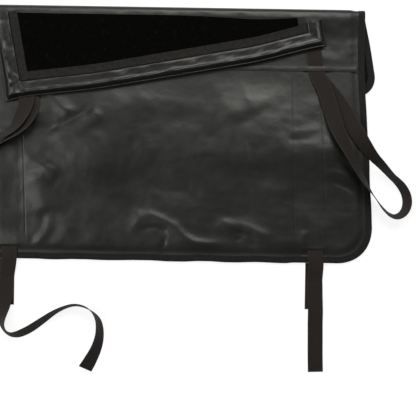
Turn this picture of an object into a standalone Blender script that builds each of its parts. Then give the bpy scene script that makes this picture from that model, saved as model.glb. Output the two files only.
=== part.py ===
"""Tailgate bike pad lying flat with its front face up.

The pad is a padded tarpaulin sheet that hangs over a tailgate. Here it is folded over at its ridge:
the inner drop lies on the floor, the front drop lies over it, and a bordered flap is folded forward
on top. Webbing tails leave the front hem, and slack loops of webbing hang from the ridge seam.

Frame: +X to the right, +Y away from the front hem, +Z up. The origin is at mid-width, under the
seam between the front drop and the ridge, on the floor. Lengths are in metres.
"""
import math

import bmesh
import bpy
from mathutils import Vector

MM = 0.001
GAP = 0.3 * MM
FLAT_LIMIT = 0.001 * MM

# Colours and roughness of the cloths
TARPAULIN = ((0.035, 0.038, 0.036), 0.45)
FLEECE = ((0.02, 0.02, 0.021), 0.95)
FOAM_GREY = ((0.30, 0.30, 0.31), 0.9)
EDGE_TAPE = ((0.025, 0.025, 0.025), 0.7)
WEB_CLOTH = ((0.03, 0.026, 0.024), 0.8)
BUCKLE_BLACK = ((0.02, 0.02, 0.02), 0.4)
BORDER_CLOTH = ((0.05, 0.05, 0.05), 0.42)
WORN_TAPE = ((0.06, 0.055, 0.05), 0.85)
BRUSHED_BLACK = ((0.01, 0.01, 0.009), 0.95)

# Cloth layers of the padded sheet, from the inner side outwards
LINING_THICK = 1.6 * MM
FOAM_THICK = 4.5 * MM
FACE_THICK = 0.9 * MM
EDGE_FOAM = 1.2 * MM
EDGE_BAND = 30 * MM
EDGE_INSET = 14 * MM

# Binding tape round the edges
BINDING_THICK = 0.8 * MM
BINDING_WIDTH = 12 * MM

# Front drop
HALF_WIDTH = 409 * MM
FRONT_DROP = 380 * MM
FRONT_CORNER = 75 * MM
DROP_LEAN = 0.034
DROP_FLARE = 0.040
FLARE_RUN = 60 * MM
REST_START = 155 * MM
REST_RUN = 110 * MM
ROW_STEP = 21 * MM
COLUMN_STEP = 25 * MM
ARC_STEPS = 4

# Ridge and inner drop
RIDGE_RUN = 111 * MM
FOLD_GAP = 6 * MM
FLAT_GAP = 0.4 * MM
FOLD_RISE_RUN = 50 * MM
RIDGE_STEP = 10 * MM
BEND_CLOTH = 24 * MM
BEND_STEPS = 6
INNER_DROP = 159 * MM
INNER_CORNER = 45 * MM
INNER_FLARE = 0.20

# Webbing
WEB_WIDTH = 30 * MM
WEB_THICK = 1.5 * MM
WEB_STEP = 13 * MM
EDGE_MARGIN = 3 * MM
UNDER_TAB_LENGTH = 92 * MM
UNDER_TAB_SHIFT = 5.4 * MM
TAIL_DRIFT = {"left": 0, "right": 7 * MM}
ANCHOR_FROM_RIDGE = 23 * MM
LOOP_ANCHOR = RIDGE_RUN - ANCHOR_FROM_RIDGE
LOOP_RISE_START = 45 * MM
LOOP_RISE_END = 26 * MM
LOOP_RETURN_END = 18 * MM
LEFT_LOOP_FROM_EDGE = 141 * MM
RIGHT_LOOP_FROM_EDGE = 93 * MM
LOOP_PLACE = {"left": LEFT_LOOP_FROM_EDGE - HALF_WIDTH, "right": HALF_WIDTH - RIGHT_LOOP_FROM_EDGE}

# Strap channels under the front face
CHANNEL_FROM_EDGE = 115.5 * MM
CHANNEL_SIDE_CLEAR = 11.5 * MM
CHANNEL_MIDDLE = HALF_WIDTH - CHANNEL_FROM_EDGE
CHANNEL_HALF = 0.5 * WEB_WIDTH + CHANNEL_SIDE_CLEAR
CHANNEL_INNER = CHANNEL_MIDDLE - CHANNEL_HALF
CHANNEL_OUTER = CHANNEL_MIDDLE + CHANNEL_HALF
CHANNEL_WALL = 1 * MM
CHANNEL_DEPTH = 2.6 * MM
SLEEVE_THICK = 0.5 * MM
SLEEVE_CLEAR = 1.5 * MM
SLEEVE_START = 10 * MM
SLEEVE_END = 2 * MM
SLOT_SIDE_CLEAR = 10 * MM
SLOT_HALF = 0.5 * WEB_WIDTH + SLOT_SIDE_CLEAR
SLOT_CLEAR = 0.5 * MM
HEM_OVERHANG = 4 * MM

# Keeper band over the ridge seam
BAND_LOW = -2 * MM
BAND_HIGH = 8 * MM
BAND_THICK = 0.9 * MM
BAND_SLOPE = 8 * MM
BAND_CLEAR = 3 * MM

# Buckles on the end of the inner drop
BUCKLE_WIDTH = WEB_WIDTH + 10 * MM
BUCKLE_THICK = 4.5 * MM
BUCKLE_SLOT_WIDTH = WEB_WIDTH + 1.5 * MM
BUCKLE_SLOT_RUN = 6 * MM
BUCKLE_GRIP = 5 * MM
BUCKLE_LIP = 8 * MM
BUCKLE_CORNER = 4 * MM
BAR_THICK = 2.5 * MM
TAB_REACH = 58 * MM
FLOOR_CLEAR = 0.1 * MM

# Flap folded forward over the ridge
FLAP_FROM_EDGE = 116 * MM
FLAP_REACH = 68 * MM
FLAP_CORNER = (FLAP_FROM_EDGE - HALF_WIDTH, -FLAP_REACH)
FLAP_TURN = math.radians(10.4)
FLAP_FROM_RIDGE = 5 * MM
FLAP_TOP = RIDGE_RUN - FLAP_FROM_RIDGE
FLAP_STAND = 4.9 * MM
FLAP_PIPING = 1.6 * MM
FLAP_BORDER = 29 * MM
FLAP_STATION = 29 * MM
FLAP_CROWN = 8.0 * MM
FLAP_PUCKER = 1.6 * MM
FLAP_TAPE = 16 * MM
FLAP_TAPE_THICK = 1.2 * MM
FLAP_SHELL = 0.9 * MM
FLAP_FOAM = 2.6 * MM
FLAP_LINING = 0.9 * MM
FLAP_SEAM = 12 * MM
FLAP_SEAM_LEFT = 6 * MM
FLAP_SEAM_RIGHT = 20 * MM
FLAP_TRIM = 8 * MM
FLAP_PLATE_TRIM = 4 * MM
FLAP_PLATE_STEP = 60 * MM
FLAP_PLATE_ROWS = 5
TAPE_STATIONS = 3
FLAP_STRIPS = 2 * FLAP_PIPING + GAP + FLAP_BORDER + GAP + FLAP_TAPE
FLAP_END_SPARE = 3 * MM
FLAP_END_DEPTH = FLAP_STRIPS + FLAP_TRIM + FLAP_END_SPARE
FLAP_LENGTH = (FLAP_TOP - FLAP_CORNER[1] - FLAP_END_DEPTH * math.cos(FLAP_TURN)) / math.sin(FLAP_TURN)

# Outline of the puffy border: share of its width, share of its height
BORDER_SECTION = [(0, 0), (1, 0), (1, 0.5), (0.84, 0.86), (0.58, 1), (0.30, 0.92), (0.1, 0.55)]

# Folds in the loose front face: points (across, down) in millimetres, height and half-width
FOLDS = [
    ([(-38, 311), (-16, 293), (13, 297), (40, 316), (67, 336)], 5.5, 13),
    ([(150, 312), (176, 305), (211, 318), (238, 326)], 5.0, 14),
    ([(-214, 290), (-236, 335)], 4.5, 15),
    ([(-262, 178), (-233, 197), (-188, 218)], 4.0, 15),
    ([(-205, 80), (-170, 92)], 4.0, 20),
    ([(-110, 100), (-80, 143), (-62, 182)], 3.2, 18),
    ([(116, 60), (152, 110), (188, 160)], 3.5, 24),
    ([(256, 124), (300, 122)], 3.0, 14),
    ([(336, 200), (372, 222)], 3.6, 15),
    ([(298, 318), (300, 336)], 3.0, 14),
]
FOLD_FADE_TOP = 45 * MM
FOLD_FADE = 25 * MM

# Routes of the free webbing from where it leaves: (x, y, tilt about its length in degrees, lift), in mm
RIGHT_LOOP = [
    (2, -14, 0, 2.2), (8, -30, 0, 2.4), (17, -54, 0, 2.6), (27, -80, 0, 2.6), (37, -106, -8, 2.2),
    (48, -130, -26, 1), (68, -168, -46, 0.2), (93, -212, -62, 0), (115, -244, -80, 0),
    (128, -262, -78, 0), (142, -277, -75, 0), (156, -286, -73, 0), (169, -285, -71, 0),
    (180, -274, -67, 0), (184, -257, -64, 0), (180, -239, -65, 0), (169, -222, -68, 0),
    (154, -208, -73, 0), (138, -193, -69, 0), (113, -168, -56, 0), (90, -136, -36, 0),
    (73, -108, -12, 0), (60, -86, 0, 0), (44, -62, 0, 0), (28, -42, 0, 0), (14, -26, 0, 0),
    (4, -14, 0, 0),
]
LEFT_LOOP = [
    (2, -14, 0, 2.2), (8, -35, 0, 2.3), (13.5, -61, 0, 2.2), (8, -90, 18, 2.6), (-6, -119, 45, 1.8),
    (-24, -136, 64, 0.6), (-44, -145, 76, 0), (-79, -152, 78, 0), (-119, -160, 78, 0),
    (-150, -176, 78, 0), (-162, -200, 82, 0), (-149, -223, 90, 0), (-118, -219, 96, 0),
    (-82, -191, 100, 0), (-57, -169, 102, 0), (-35, -154, 104, 0), (-12, -139, 114, 0),
    (8, -120, 137, 0), (19, -97, 166, 0), (23, -77, 180, 0), (21, -58, 180, 0), (12, -31, 180, 0),
    (3, -14, 180, 0),
]
LEFT_TAIL = [
    (-4.7, -34, 0, 1.8), (-6.7, -63, 4, 1.8), (-12.7, -88, 18, 1.8), (-18.7, -110, 42, 0.6),
    (-17.7, -130, 62, 0), (-8.7, -146, 69, 0), (7.3, -153, 66, 0), (25.3, -149, 60, 0),
    (45.3, -139, 60, 0), (68.3, -123, 65, 0), (92.3, -106, 73, 0), (115.3, -95, 77, 0),
    (135.3, -91, 77, 0), (155.3, -96, 78, 0), (170.3, -107, 88, 0), (180.3, -124, 105, 0),
    (182.3, -150, 118, 0), (175.3, -178, 132, 0), (160.3, -208, 148, 0), (154.3, -218, 152, 0),
]
RIGHT_TAIL = [
    (7.9, -34, 0, 1.8), (8.9, -70, 0, 1.8), (9.9, -98, 0, 1.8), (9.9, -120, 0, 0.4),
    (10.4, -150, 0, 0), (10.9, -185, 0, 0), (11.9, -218, 0, 0),
]


def stack_levels(foam, start):
    """Lowest and highest level of each layer above the inner side of the sheet."""
    lining = (start, start + LINING_THICK)
    core = (lining[1] + GAP, lining[1] + GAP + foam)
    face = (core[1] + GAP, core[1] + GAP + FACE_THICK)
    return {"lining": lining, "foam": core, "face": face}


BODY = stack_levels(FOAM_THICK, 0.0)
EDGE = stack_levels(EDGE_FOAM, BINDING_THICK + GAP)
PANEL_THICK = BODY["face"][1]
BINDING_TOP = EDGE["face"][1] + GAP + BINDING_THICK
FRONT_LIFT = PANEL_THICK + FLAT_GAP
WEB_IN_CHANNEL = BODY["face"][0] - GAP - 0.5 * WEB_THICK
LOW_WEB = PANEL_THICK + GAP + 0.5 * WEB_THICK
HIGH_WEB = LOW_WEB + WEB_THICK + GAP


def smooth(t):
    """Smooth step from 0 to 1."""
    t = min(1.0, max(0.0, t))
    return t * t * (3 - 2 * t)


def spread(start, end, step):
    """Evenly spaced values from start to end, no further apart than step."""
    count = max(1, math.ceil(abs(end - start) / step - 1e-6))
    return [start + (end - start) * i / count for i in range(count + 1)]


def mirrored(values):
    """The values on both sides of zero, in order."""
    return sorted({-v for v in values} | set(values))


# Shape of the lying sheet

def front_base(v):
    """Height of the front drop's inner side: over the inner drop first, then down to the floor."""
    return FRONT_LIFT * (1 - smooth((v - REST_START) / REST_RUN))


def lean(u):
    """Sideways shift of the hanging cloth for each metre down."""
    side = min(1.0, max(0.0, (abs(u) - CHANNEL_INNER) / FLARE_RUN))
    return DROP_LEAN + math.copysign(DROP_FLARE * side, u)


def segment_distance(p, a, b):
    """Distance from p to the segment from a to b."""
    ax, ay = b[0] - a[0], b[1] - a[1]
    t = ((p[0] - a[0]) * ax + (p[1] - a[1]) * ay) / (ax * ax + ay * ay)
    t = min(1.0, max(0.0, t))
    return math.hypot(p[0] - a[0] - t * ax, p[1] - a[1] - t * ay)


def fold_height(u, v):
    """How far the loose face stands off the foam at a point of the front drop."""
    point = (u / MM, v / MM)
    height = 0.0
    for line, rise, width in FOLDS:
        distance = min(segment_distance(point, a, b) for a, b in zip(line, line[1:]))
        height += rise * math.exp(-(distance / width) ** 2)
    inner_edge = min(HALF_WIDTH - abs(u), FRONT_DROP - v) - EDGE_BAND
    fade = smooth((v - FOLD_FADE_TOP) / FOLD_FADE) * smooth(inner_edge / FOLD_FADE)
    return height * MM * fade


def front_point(u, v, level):
    """A point of the front drop: across, down from the seam, and above the inner side."""
    return Vector((u + lean(u) * v, -v, front_base(v) + level))


def fold_gap(s):
    """Space between the two drops, which opens towards the ridge fold."""
    return FLAT_GAP + (FOLD_GAP - FLAT_GAP) * smooth((s - RIDGE_RUN + FOLD_RISE_RUN) / FOLD_RISE_RUN)


def back_point(u, s, level):
    """A point of the ridge and inner drop, s along the cloth from the seam."""
    if s <= RIDGE_RUN:
        return Vector((u, s, PANEL_THICK + fold_gap(s) + level))
    centre = PANEL_THICK + 0.5 * FOLD_GAP
    along = s - RIDGE_RUN - BEND_CLOTH
    if along <= 0:
        angle = math.pi * (s - RIDGE_RUN) / BEND_CLOTH
        radius = 0.5 * FOLD_GAP + level
        return Vector((u, RIDGE_RUN + radius * math.sin(angle), centre + radius * math.cos(angle)))
    return Vector((u * (1 + INNER_FLARE * along / HALF_WIDTH), RIDGE_RUN - along, PANEL_THICK - level))


# Building solids

def finish(name, bm, cloth, smooth_angle=None):
    """Turns a bmesh into a named object with its own material."""
    bmesh.ops.recalc_face_normals(bm, faces=bm.faces[:])
    mesh = bpy.data.meshes.new(name)
    bm.to_mesh(mesh)
    bm.free()
    if smooth_angle:
        mesh.shade_smooth()
        mesh.set_sharp_from_angle(angle=math.radians(smooth_angle))
    material = bpy.data.materials.new(name)
    material.use_nodes = True
    shader = material.node_tree.nodes["Principled BSDF"]
    color, roughness = cloth
    shader.inputs["Base Color"].default_value = (*color, 1)
    shader.inputs["Roughness"].default_value = roughness
    material.diffuse_color = (*color, 1)
    mesh.materials.append(material)
    obj = bpy.data.objects.new(name, mesh)
    bpy.context.scene.collection.objects.link(obj)
    return obj


def is_bent(corners):
    """True for four corners that don't lie in one plane."""
    a, b, c, d = corners
    normal = (b - a).cross(c - a)
    return abs(normal.normalized().dot(d - a)) > FLAT_LIMIT


def closed_sheet(lower, upper, faces):
    """A closed solid between two matching nets of points, with walls on every open edge.

    A bent face is split along the same diagonal on both sides, so the sheet keeps its thickness.
    """
    split = []
    for face in faces:
        if len(face) == 4 and (is_bent([upper[i] for i in face]) or is_bent([lower[i] for i in face])):
            a, b, c, d = face
            split += [[a, b, c], [a, c, d]]
        else:
            split.append(face)
    faces = split
    bm = bmesh.new()
    low = [bm.verts.new(p) for p in lower]
    high = [bm.verts.new(p) for p in upper]
    used = {}
    for face in faces:
        bm.faces.new([high[i] for i in face])
        bm.faces.new([low[i] for i in reversed(face)])
        for a, b in zip(face, face[1:] + face[:1]):
            used[(a, b)] = True
    for a, b in used:
        if (b, a) not in used:
            bm.faces.new([high[b], high[a], low[a], low[b]])
    for vert in [v for v in bm.verts if not v.link_faces]:
        bm.verts.remove(vert)
    return bm


def swept(rings, ribbon=False):
    """A closed solid through equal rings of points, with flat ends.

    The broad sides of a ribbon are split along matching diagonals, so a twist keeps its thickness.
    """
    bm = bmesh.new()
    loops = [[bm.verts.new(p) for p in ring] for ring in rings]
    for one, two in zip(loops, loops[1:]):
        for i in range(len(one)):
            j = (i + 1) % len(one)
            if not ribbon:
                bm.faces.new([one[i], one[j], two[j], two[i]])
            elif 2 * i < len(one):
                bm.faces.new([one[i], one[j], two[j]])
                bm.faces.new([one[i], two[j], two[i]])
            else:
                bm.faces.new([one[i], one[j], two[i]])
                bm.faces.new([one[j], two[j], two[i]])
    bm.faces.new(list(reversed(loops[0])))
    bm.faces.new(loops[-1])
    return bm


class Outline:
    """The net of a drop with rounded lower corners: an inner grid and two rings along the edge."""

    def __init__(self, half_width, length, corner, rows):
        self.half_width = half_width
        self.length = length
        self.corner = corner
        arcs = [math.radians(90 * i / ARC_STEPS) for i in range(1, ARC_STEPS + 1)]
        inner = corner - EDGE_BAND
        self.rows = rows + [length - corner + inner * math.sin(a) for a in arcs]

    def inner_node(self, column, v):
        """Place of a grid node, drawn in round the corner."""
        straight = self.half_width - self.corner
        past = (v - (self.length - self.corner)) / (self.corner - EDGE_BAND)
        if past <= 0 or abs(column) <= straight:
            return column, v
        drawn = math.sqrt(max(0.0, 1 - past * past))
        return math.copysign(straight + (abs(column) - straight) * drawn, column), v

    def edge_nodes(self, columns):
        """Inner boundary nodes down the left side, along the end and up the right side."""
        reach = self.half_width - EDGE_BAND
        straight = self.half_width - self.corner
        nodes = []
        for v in self.rows[:-1]:
            past = max(0.0, (v - (self.length - self.corner)) / (self.corner - EDGE_BAND))
            normal = (-math.sqrt(max(0.0, 1 - past * past)), min(1.0, past))
            nodes.append((self.inner_node(-reach, v), normal))
        for column in columns:
            if abs(column) <= straight + 1e-9:
                nodes.append(((column, self.rows[-1]), (0.0, 1.0)))
        for (u, v), normal in reversed(nodes[:len(self.rows) - 1]):
            nodes.append(((-u, v), (-normal[0], normal[1])))
        return nodes

    def net(self, columns, holes=()):
        """Points (u, v, 1 in the bound edge), faces, and the number of inner points."""
        index = {}
        points = []

        def number(u, v, edge):
            key = (round(u / MM, 3), round(v / MM, 3))
            if key not in index:
                index[key] = len(points)
                points.append((u, v, edge))
            return index[key]

        def cell(corners):
            ring = [c for i, c in enumerate(corners) if c != corners[i - 1]]
            middle = [0.25 * sum(points[c][axis] for c in corners) for axis in (0, 1)]
            inside = any(a < middle[0] < b and c < middle[1] < d for a, b, c, d in holes)
            if len(ring) > 2 and not inside:
                faces.append(ring)

        faces = []
        grid = [[number(*self.inner_node(c, v), 0) for c in columns] for v in self.rows]
        for one, two in zip(grid, grid[1:]):
            for i in range(len(columns) - 1):
                cell([one[i], two[i], two[i + 1], one[i + 1]])
        nodes = self.edge_nodes(columns)
        rings = [[number(p[0], p[1], 0) for p, _ in nodes]]
        for inset in (EDGE_INSET, 0.0):
            out = EDGE_BAND - inset
            rings.append([number(p[0] + n[0] * out, p[1] + n[1] * out, 1) for p, n in nodes])
        for one, two in zip(rings, rings[1:]):
            for i in range(len(nodes) - 1):
                cell([one[i], two[i], two[i + 1], one[i + 1]])
        return points, faces


def layer_solid(name, outline, columns, place, layer, cloth, holes=(), top=None):
    """One layer of the padded sheet. top may change the height of its upper and lower side."""
    points, faces = outline.net(columns, holes)
    lower, upper = [], []
    for u, v, edge in points:
        low, high = EDGE[layer] if edge else BODY[layer]
        if top and not edge:
            low, high = top(u, v, low, high)
        lower.append(place(u, v, low))
        upper.append(place(u, v, high))
    return finish(name, closed_sheet(lower, upper, faces), cloth, 40)


def binding_solid(name, outline, columns, place):
    """Folded tape round the open edge of the sheet."""
    out = GAP + BINDING_THICK
    section = [
        (BINDING_WIDTH, 0), (-out, 0), (-out, BINDING_TOP), (BINDING_WIDTH, BINDING_TOP),
        (BINDING_WIDTH, BINDING_TOP - BINDING_THICK), (-GAP, BINDING_TOP - BINDING_THICK),
        (-GAP, BINDING_THICK), (BINDING_WIDTH, BINDING_THICK),
    ]
    rings = []
    for (u, v), (nu, nv) in outline.edge_nodes(columns):
        rings.append([
            place(u + nu * (EDGE_BAND - inset), v + nv * (EDGE_BAND - inset), level)
            for inset, level in section
        ])
    return finish(name, swept(rings), EDGE_TAPE, 40)


# Front drop

def front_rows():
    """Rows of the front net above the rounded corners."""
    return [0.5 * GAP] + spread(12 * MM, FRONT_DROP - FRONT_CORNER, ROW_STEP)


def front_drop():
    """Face, foam, lining and binding of the front drop."""
    outline = Outline(HALF_WIDTH, FRONT_DROP, FRONT_CORNER, front_rows())
    reach = HALF_WIDTH - EDGE_BAND
    straight = HALF_WIDTH - FRONT_CORNER
    slot_in = CHANNEL_MIDDLE - SLOT_HALF
    slot_out = CHANNEL_MIDDLE + SLOT_HALF
    fine = spread(0, slot_in, COLUMN_STEP) + [slot_out, straight, 0.5 * (straight + reach), reach]
    low, high = FRONT_DROP - EDGE_BAND, FRONT_DROP - EDGE_INSET
    slots = [(slot_in, slot_out, low, high), (-slot_out, -slot_in, low, high)]

    def loose(u, v, bottom, top):
        rise = fold_height(u, v)
        return bottom + rise, top + rise

    layer_solid("front_face", outline, mirrored(fine), front_point, "face", TARPAULIN, slots, loose)

    wall = 0.5 * CHANNEL_WALL
    channel = [
        CHANNEL_INNER - wall, CHANNEL_INNER + wall, CHANNEL_OUTER - wall, CHANNEL_OUTER + wall,
    ]

    def grooved(u, v, bottom, top):
        inside = abs(abs(u) - CHANNEL_MIDDLE) < CHANNEL_HALF
        return bottom, top - (CHANNEL_DEPTH if inside else 0)

    across = mirrored(channel + [straight, reach])
    layer_solid("front_foam", outline, across, front_point, "foam", FOAM_GREY, (), grooved)
    layer_solid("front_lining", outline, mirrored([straight, reach]), front_point, "lining", FLEECE)
    binding_solid("front_binding", outline, mirrored([straight]), front_point)


def strap_sleeve(side, sign):
    """Thin tray of cloth that carries the webbing under the front face."""
    half = CHANNEL_HALF - SLEEVE_CLEAR
    floor = BODY["foam"][1] - CHANNEL_DEPTH + GAP
    rim = BODY["face"][0] - GAP
    section = [
        (-half, floor), (half, floor), (half, rim), (half - SLEEVE_THICK, rim),
        (half - SLEEVE_THICK, floor + SLEEVE_THICK), (SLEEVE_THICK - half, floor + SLEEVE_THICK),
        (SLEEVE_THICK - half, rim), (-half, rim),
    ]
    centre = sign * CHANNEL_MIDDLE
    rows = [v for v in front_rows() if v > SLEEVE_START] + [FRONT_DROP - EDGE_BAND - SLEEVE_END]
    rings = [[front_point(centre + x, v, level) for x, level in section] for v in rows]
    finish(side + "_strap_sleeve", swept(rings), EDGE_TAPE)


# Ridge and inner drop

def ridge_rows():
    """Rows of the rising stretch before the ridge fold, shared by all that lies on it."""
    return spread(RIDGE_RUN - FOLD_RISE_RUN, RIDGE_RUN, RIDGE_STEP)


def inner_drop():
    """Face, foam, lining and binding from the seam over the ridge to the inner hem."""
    bend_end = RIDGE_RUN + BEND_CLOTH
    length = bend_end + INNER_DROP
    rows = [0.5 * GAP] + ridge_rows()[:-1]
    rows += spread(RIDGE_RUN, bend_end, BEND_CLOTH / BEND_STEPS)
    rows += [length - INNER_CORNER]
    outline = Outline(HALF_WIDTH, length, INNER_CORNER, rows)
    reach = HALF_WIDTH - EDGE_BAND
    straight = HALF_WIDTH - INNER_CORNER
    columns = mirrored([straight, reach])
    layer_solid("ridge_face", outline, columns, back_point, "face", TARPAULIN)
    layer_solid("ridge_foam", outline, columns, back_point, "foam", FOAM_GREY)
    layer_solid("ridge_lining", outline, columns, back_point, "lining", FLEECE)
    binding_solid("ridge_binding", outline, mirrored([straight]), back_point)


def keeper_band():
    """Strip of face cloth over the ridge seam, arched over the webbing loops."""
    reach = HALF_WIDTH - EDGE_INSET
    flat = FRONT_LIFT + PANEL_THICK + GAP
    arch = flat + 2 * (WEB_THICK + GAP)
    half = 0.5 * WEB_WIDTH + BAND_CLEAR
    stations = [(-reach, flat)]
    for place in (LOOP_PLACE["left"], LOOP_PLACE["right"]):
        stations += [
            (place - half - BAND_SLOPE, flat), (place - half, arch),
            (place + half, arch), (place + half + BAND_SLOPE, flat),
        ]
    stations.append((reach, flat))
    rings = []
    for x, height in stations:
        top = height + BAND_THICK
        corners = [(BAND_LOW, height), (BAND_HIGH, height), (BAND_HIGH, top), (BAND_LOW, top)]
        rings.append([(x, y, z) for y, z in corners])
    finish("keeper_band", swept(rings), TARPAULIN)


# Webbing

def inside_front(u, v):
    """True where a point of the front drop lies within its bound outline."""
    out = GAP + BINDING_THICK + EDGE_MARGIN
    du = abs(u) - (HALF_WIDTH - FRONT_CORNER)
    dv = v - (FRONT_DROP - FRONT_CORNER)
    if du > 0 and dv > 0:
        return math.hypot(du, dv) < FRONT_CORNER + out
    return abs(u) < HALF_WIDTH + out and v < FRONT_DROP + out


def surface_under(x, y):
    """Height of the lying pad under a point in plan, 0 on the floor beside it."""
    v = -y
    u = x
    for _ in range(4):
        u = x - lean(u) * v
    if v < 0 or not inside_front(u, v):
        return 0.0
    return front_base(v) + PANEL_THICK + fold_height(u, v)


def catmull_rom(values, count):
    """Smooth curve through rows of numbers, count steps between neighbours."""
    padded = [values[0]] + list(values) + [values[-1]]
    result = []
    for a, b, c, d in zip(padded, padded[1:], padded[2:], padded[3:]):
        for step in range(count):
            t = step / count
            result.append([
                0.5 * (2 * q + (r - p) * t + (2 * p - 5 * q + 4 * r - s) * t * t
                       + (3 * q - p - 3 * r + s) * t ** 3)
                for p, q, r, s in zip(a, b, c, d)
            ])
    result.append(list(values[-1]))
    return result


def even_steps(points, step):
    """The curve's points again at even steps along its length in plan."""
    lengths = [0.0]
    for a, b in zip(points, points[1:]):
        lengths.append(lengths[-1] + math.hypot(b[0] - a[0], b[1] - a[1]))
    result = []
    for target in spread(0, lengths[-1], step):
        i = max(k for k in range(len(lengths)) if lengths[k] <= target + 1e-9)
        i = min(i, len(points) - 2)
        t = (target - lengths[i]) / (lengths[i + 1] - lengths[i])
        result.append([p + (q - p) * t for p, q in zip(points[i], points[i + 1])])
    return result


def free_stations(route, start):
    """Points (x, y, z, tilt) along a free stretch from start that lies on the pad and on the floor."""
    knots = [
        (start[0] + x * MM, start[1] + y * MM, math.radians(tilt), lift * MM)
        for x, y, tilt, lift in route
    ]
    path = even_steps(catmull_rom(knots, 6), WEB_STEP)
    lows = []
    for i, (x, y, tilt, lift) in enumerate(path):
        ahead = path[min(i + 1, len(path) - 1)]
        behind = path[max(i - 1, 0)]
        dx, dy = ahead[0] - behind[0], ahead[1] - behind[1]
        size = math.hypot(dx, dy)
        across = (-dy / size, dx / size)
        reach = 0.5 * WEB_WIDTH * abs(math.cos(tilt)) + WEB_THICK
        under = max(surface_under(x + across[0] * reach * k, y + across[1] * reach * k)
                    for k in (-1, -0.5, 0, 0.5, 1))
        lows.append(under + (GAP if under > 0 else 0))
    wide = [max(lows[max(0, i - 2):i + 3]) for i in range(len(lows))]
    stations = []
    for i, (x, y, tilt, lift) in enumerate(path):
        near = wide[max(0, i - 1):i + 2]
        low = max(lows[i], sum(near) / len(near))
        half = 0.5 * (WEB_WIDTH * abs(math.sin(tilt)) + WEB_THICK * abs(math.cos(tilt)))
        stations.append((x, y, low + lift + half + FLOOR_CLEAR, tilt))
    return stations


def webbing(name, stations, width=WEB_WIDTH):
    """Flat webbing swept through points (x, y, z, tilt)."""
    rings = []
    last = None
    for i, (x, y, z, tilt) in enumerate(stations):
        ahead = Vector(stations[min(i + 1, len(stations) - 1)][:3])
        behind = Vector(stations[max(i - 1, 0)][:3])
        run = (ahead - behind).normalized()
        level = Vector((-run.y, run.x, 0)).normalized()
        if last is not None and level.dot(last[0]) < 0:
            level = -level
        rise = run.cross(level)
        if rise.z < 0:
            rise = -rise
        side = level * math.cos(tilt) + rise * math.sin(tilt)
        thick = rise * math.cos(tilt) - level * math.sin(tilt)
        last = (level, rise)
        at = Vector((x, y, z))
        a, b = side * 0.5 * width, thick * 0.5 * WEB_THICK
        rings.append([at - a - b, at + a - b, at + a + b, at - a + b])
    return finish(name, swept(rings, True), WEB_CLOTH)


def slack_loop(side, route):
    """Loop of webbing from the flap's seam, under the band, out over the pad and back."""
    place = LOOP_PLACE[side]
    ridge = [s for s in reversed(ridge_rows()) if s < LOOP_ANCHOR] + [LOOP_RISE_START]
    stations = [(place, s, *back_point(place, s, LOW_WEB)[2:], 0) for s in [LOOP_ANCHOR] + ridge]
    stations += [(place, s, *back_point(place, s, HIGH_WEB)[2:], 0) for s in (LOOP_RISE_END, 0.0)]
    stations += free_stations(route, (place, 0.0))
    turned = math.radians(route[-1][2])
    stations += [(place, s, *back_point(place, s, LOW_WEB)[2:], turned) for s in (0.0, LOOP_RETURN_END)]
    webbing(side + "_slack_loop", stations)


def tail_strap(side, sign, route):
    """Tie-down strap: down the channel, out of the slot, over the hem and along the floor."""
    u = sign * CHANNEL_MIDDLE
    drift = TAIL_DRIFT[side] / FRONT_DROP
    rows = [v for v in front_rows() if v > SLEEVE_START] + [FRONT_DROP - EDGE_BAND + SLOT_CLEAR]
    stations = [(*front_point(u + drift * v, v, WEB_IN_CHANNEL), 0) for v in rows]
    over_hem = BINDING_TOP + GAP + 0.5 * WEB_THICK
    for v in (FRONT_DROP - EDGE_INSET - 2 * SLOT_CLEAR, FRONT_DROP + HEM_OVERHANG):
        stations.append((*front_point(u + drift * v, v, over_hem), 0))
    stations += free_stations(route, front_point(u, FRONT_DROP, 0))
    webbing(side + "_tail_strap", stations)


def under_tab(side, sign):
    """Short second layer of webbing from the hem, under the tail strap."""
    u = sign * CHANNEL_MIDDLE + TAIL_DRIFT[side]
    start = front_point(u, FRONT_DROP + 2 * GAP + BINDING_THICK, 0)
    end_y = start.y - UNDER_TAB_LENGTH
    x = start.x - UNDER_TAB_SHIFT
    height = 0.5 * WEB_THICK + FLOOR_CLEAR
    stations = [(x, start.y, height, 0), (x, end_y, height, 0)]
    webbing(side + "_under_tab", stations)


# Buckles

def inner_hem():
    """Plan position of the inner drop's bound end."""
    return RIDGE_RUN - INNER_DROP - GAP - BINDING_THICK


def buckle_bar():
    """Plan position of the buckle bar that the tab goes round."""
    return inner_hem() - TAB_REACH


def tab_radius():
    """Bend of the tab's middle line round the buckle bar."""
    return 0.5 * (math.sqrt(2) * BAR_THICK + WEB_THICK) + GAP


def buckle_middle():
    """Height of the buckle's middle above the floor."""
    return FLOOR_CLEAR + tab_radius() + 0.5 * WEB_THICK


def buckle_tab(side, sign):
    """Webbing folded round the buckle's bar and sewn to the inner hem."""
    x = sign * CHANNEL_MIDDLE
    radius = tab_radius()
    middle = buckle_middle()
    start = inner_hem() - GAP
    bar = buckle_bar()
    path = [(start, middle + radius)]
    for i in range(7):
        angle = math.pi * i / 6
        path.append((bar - radius * math.sin(angle), middle + radius * math.cos(angle)))
    path.append((start, middle - radius))
    rings = []
    for i, (y, z) in enumerate(path):
        ahead = path[min(i + 1, len(path) - 1)]
        behind = path[max(i - 1, 0)]
        run = Vector((0, ahead[0] - behind[0], ahead[1] - behind[1])).normalized()
        normal = Vector((0, -run.z, run.y)) * 0.5 * WEB_THICK
        half = Vector((0.5 * WEB_WIDTH, 0, 0))
        at = Vector((x, y, z))
        rings.append([at - half - normal, at + half - normal, at + half + normal, at - half + normal])
    finish(side + "_buckle_tab", swept(rings), WEB_CLOTH)


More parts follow.
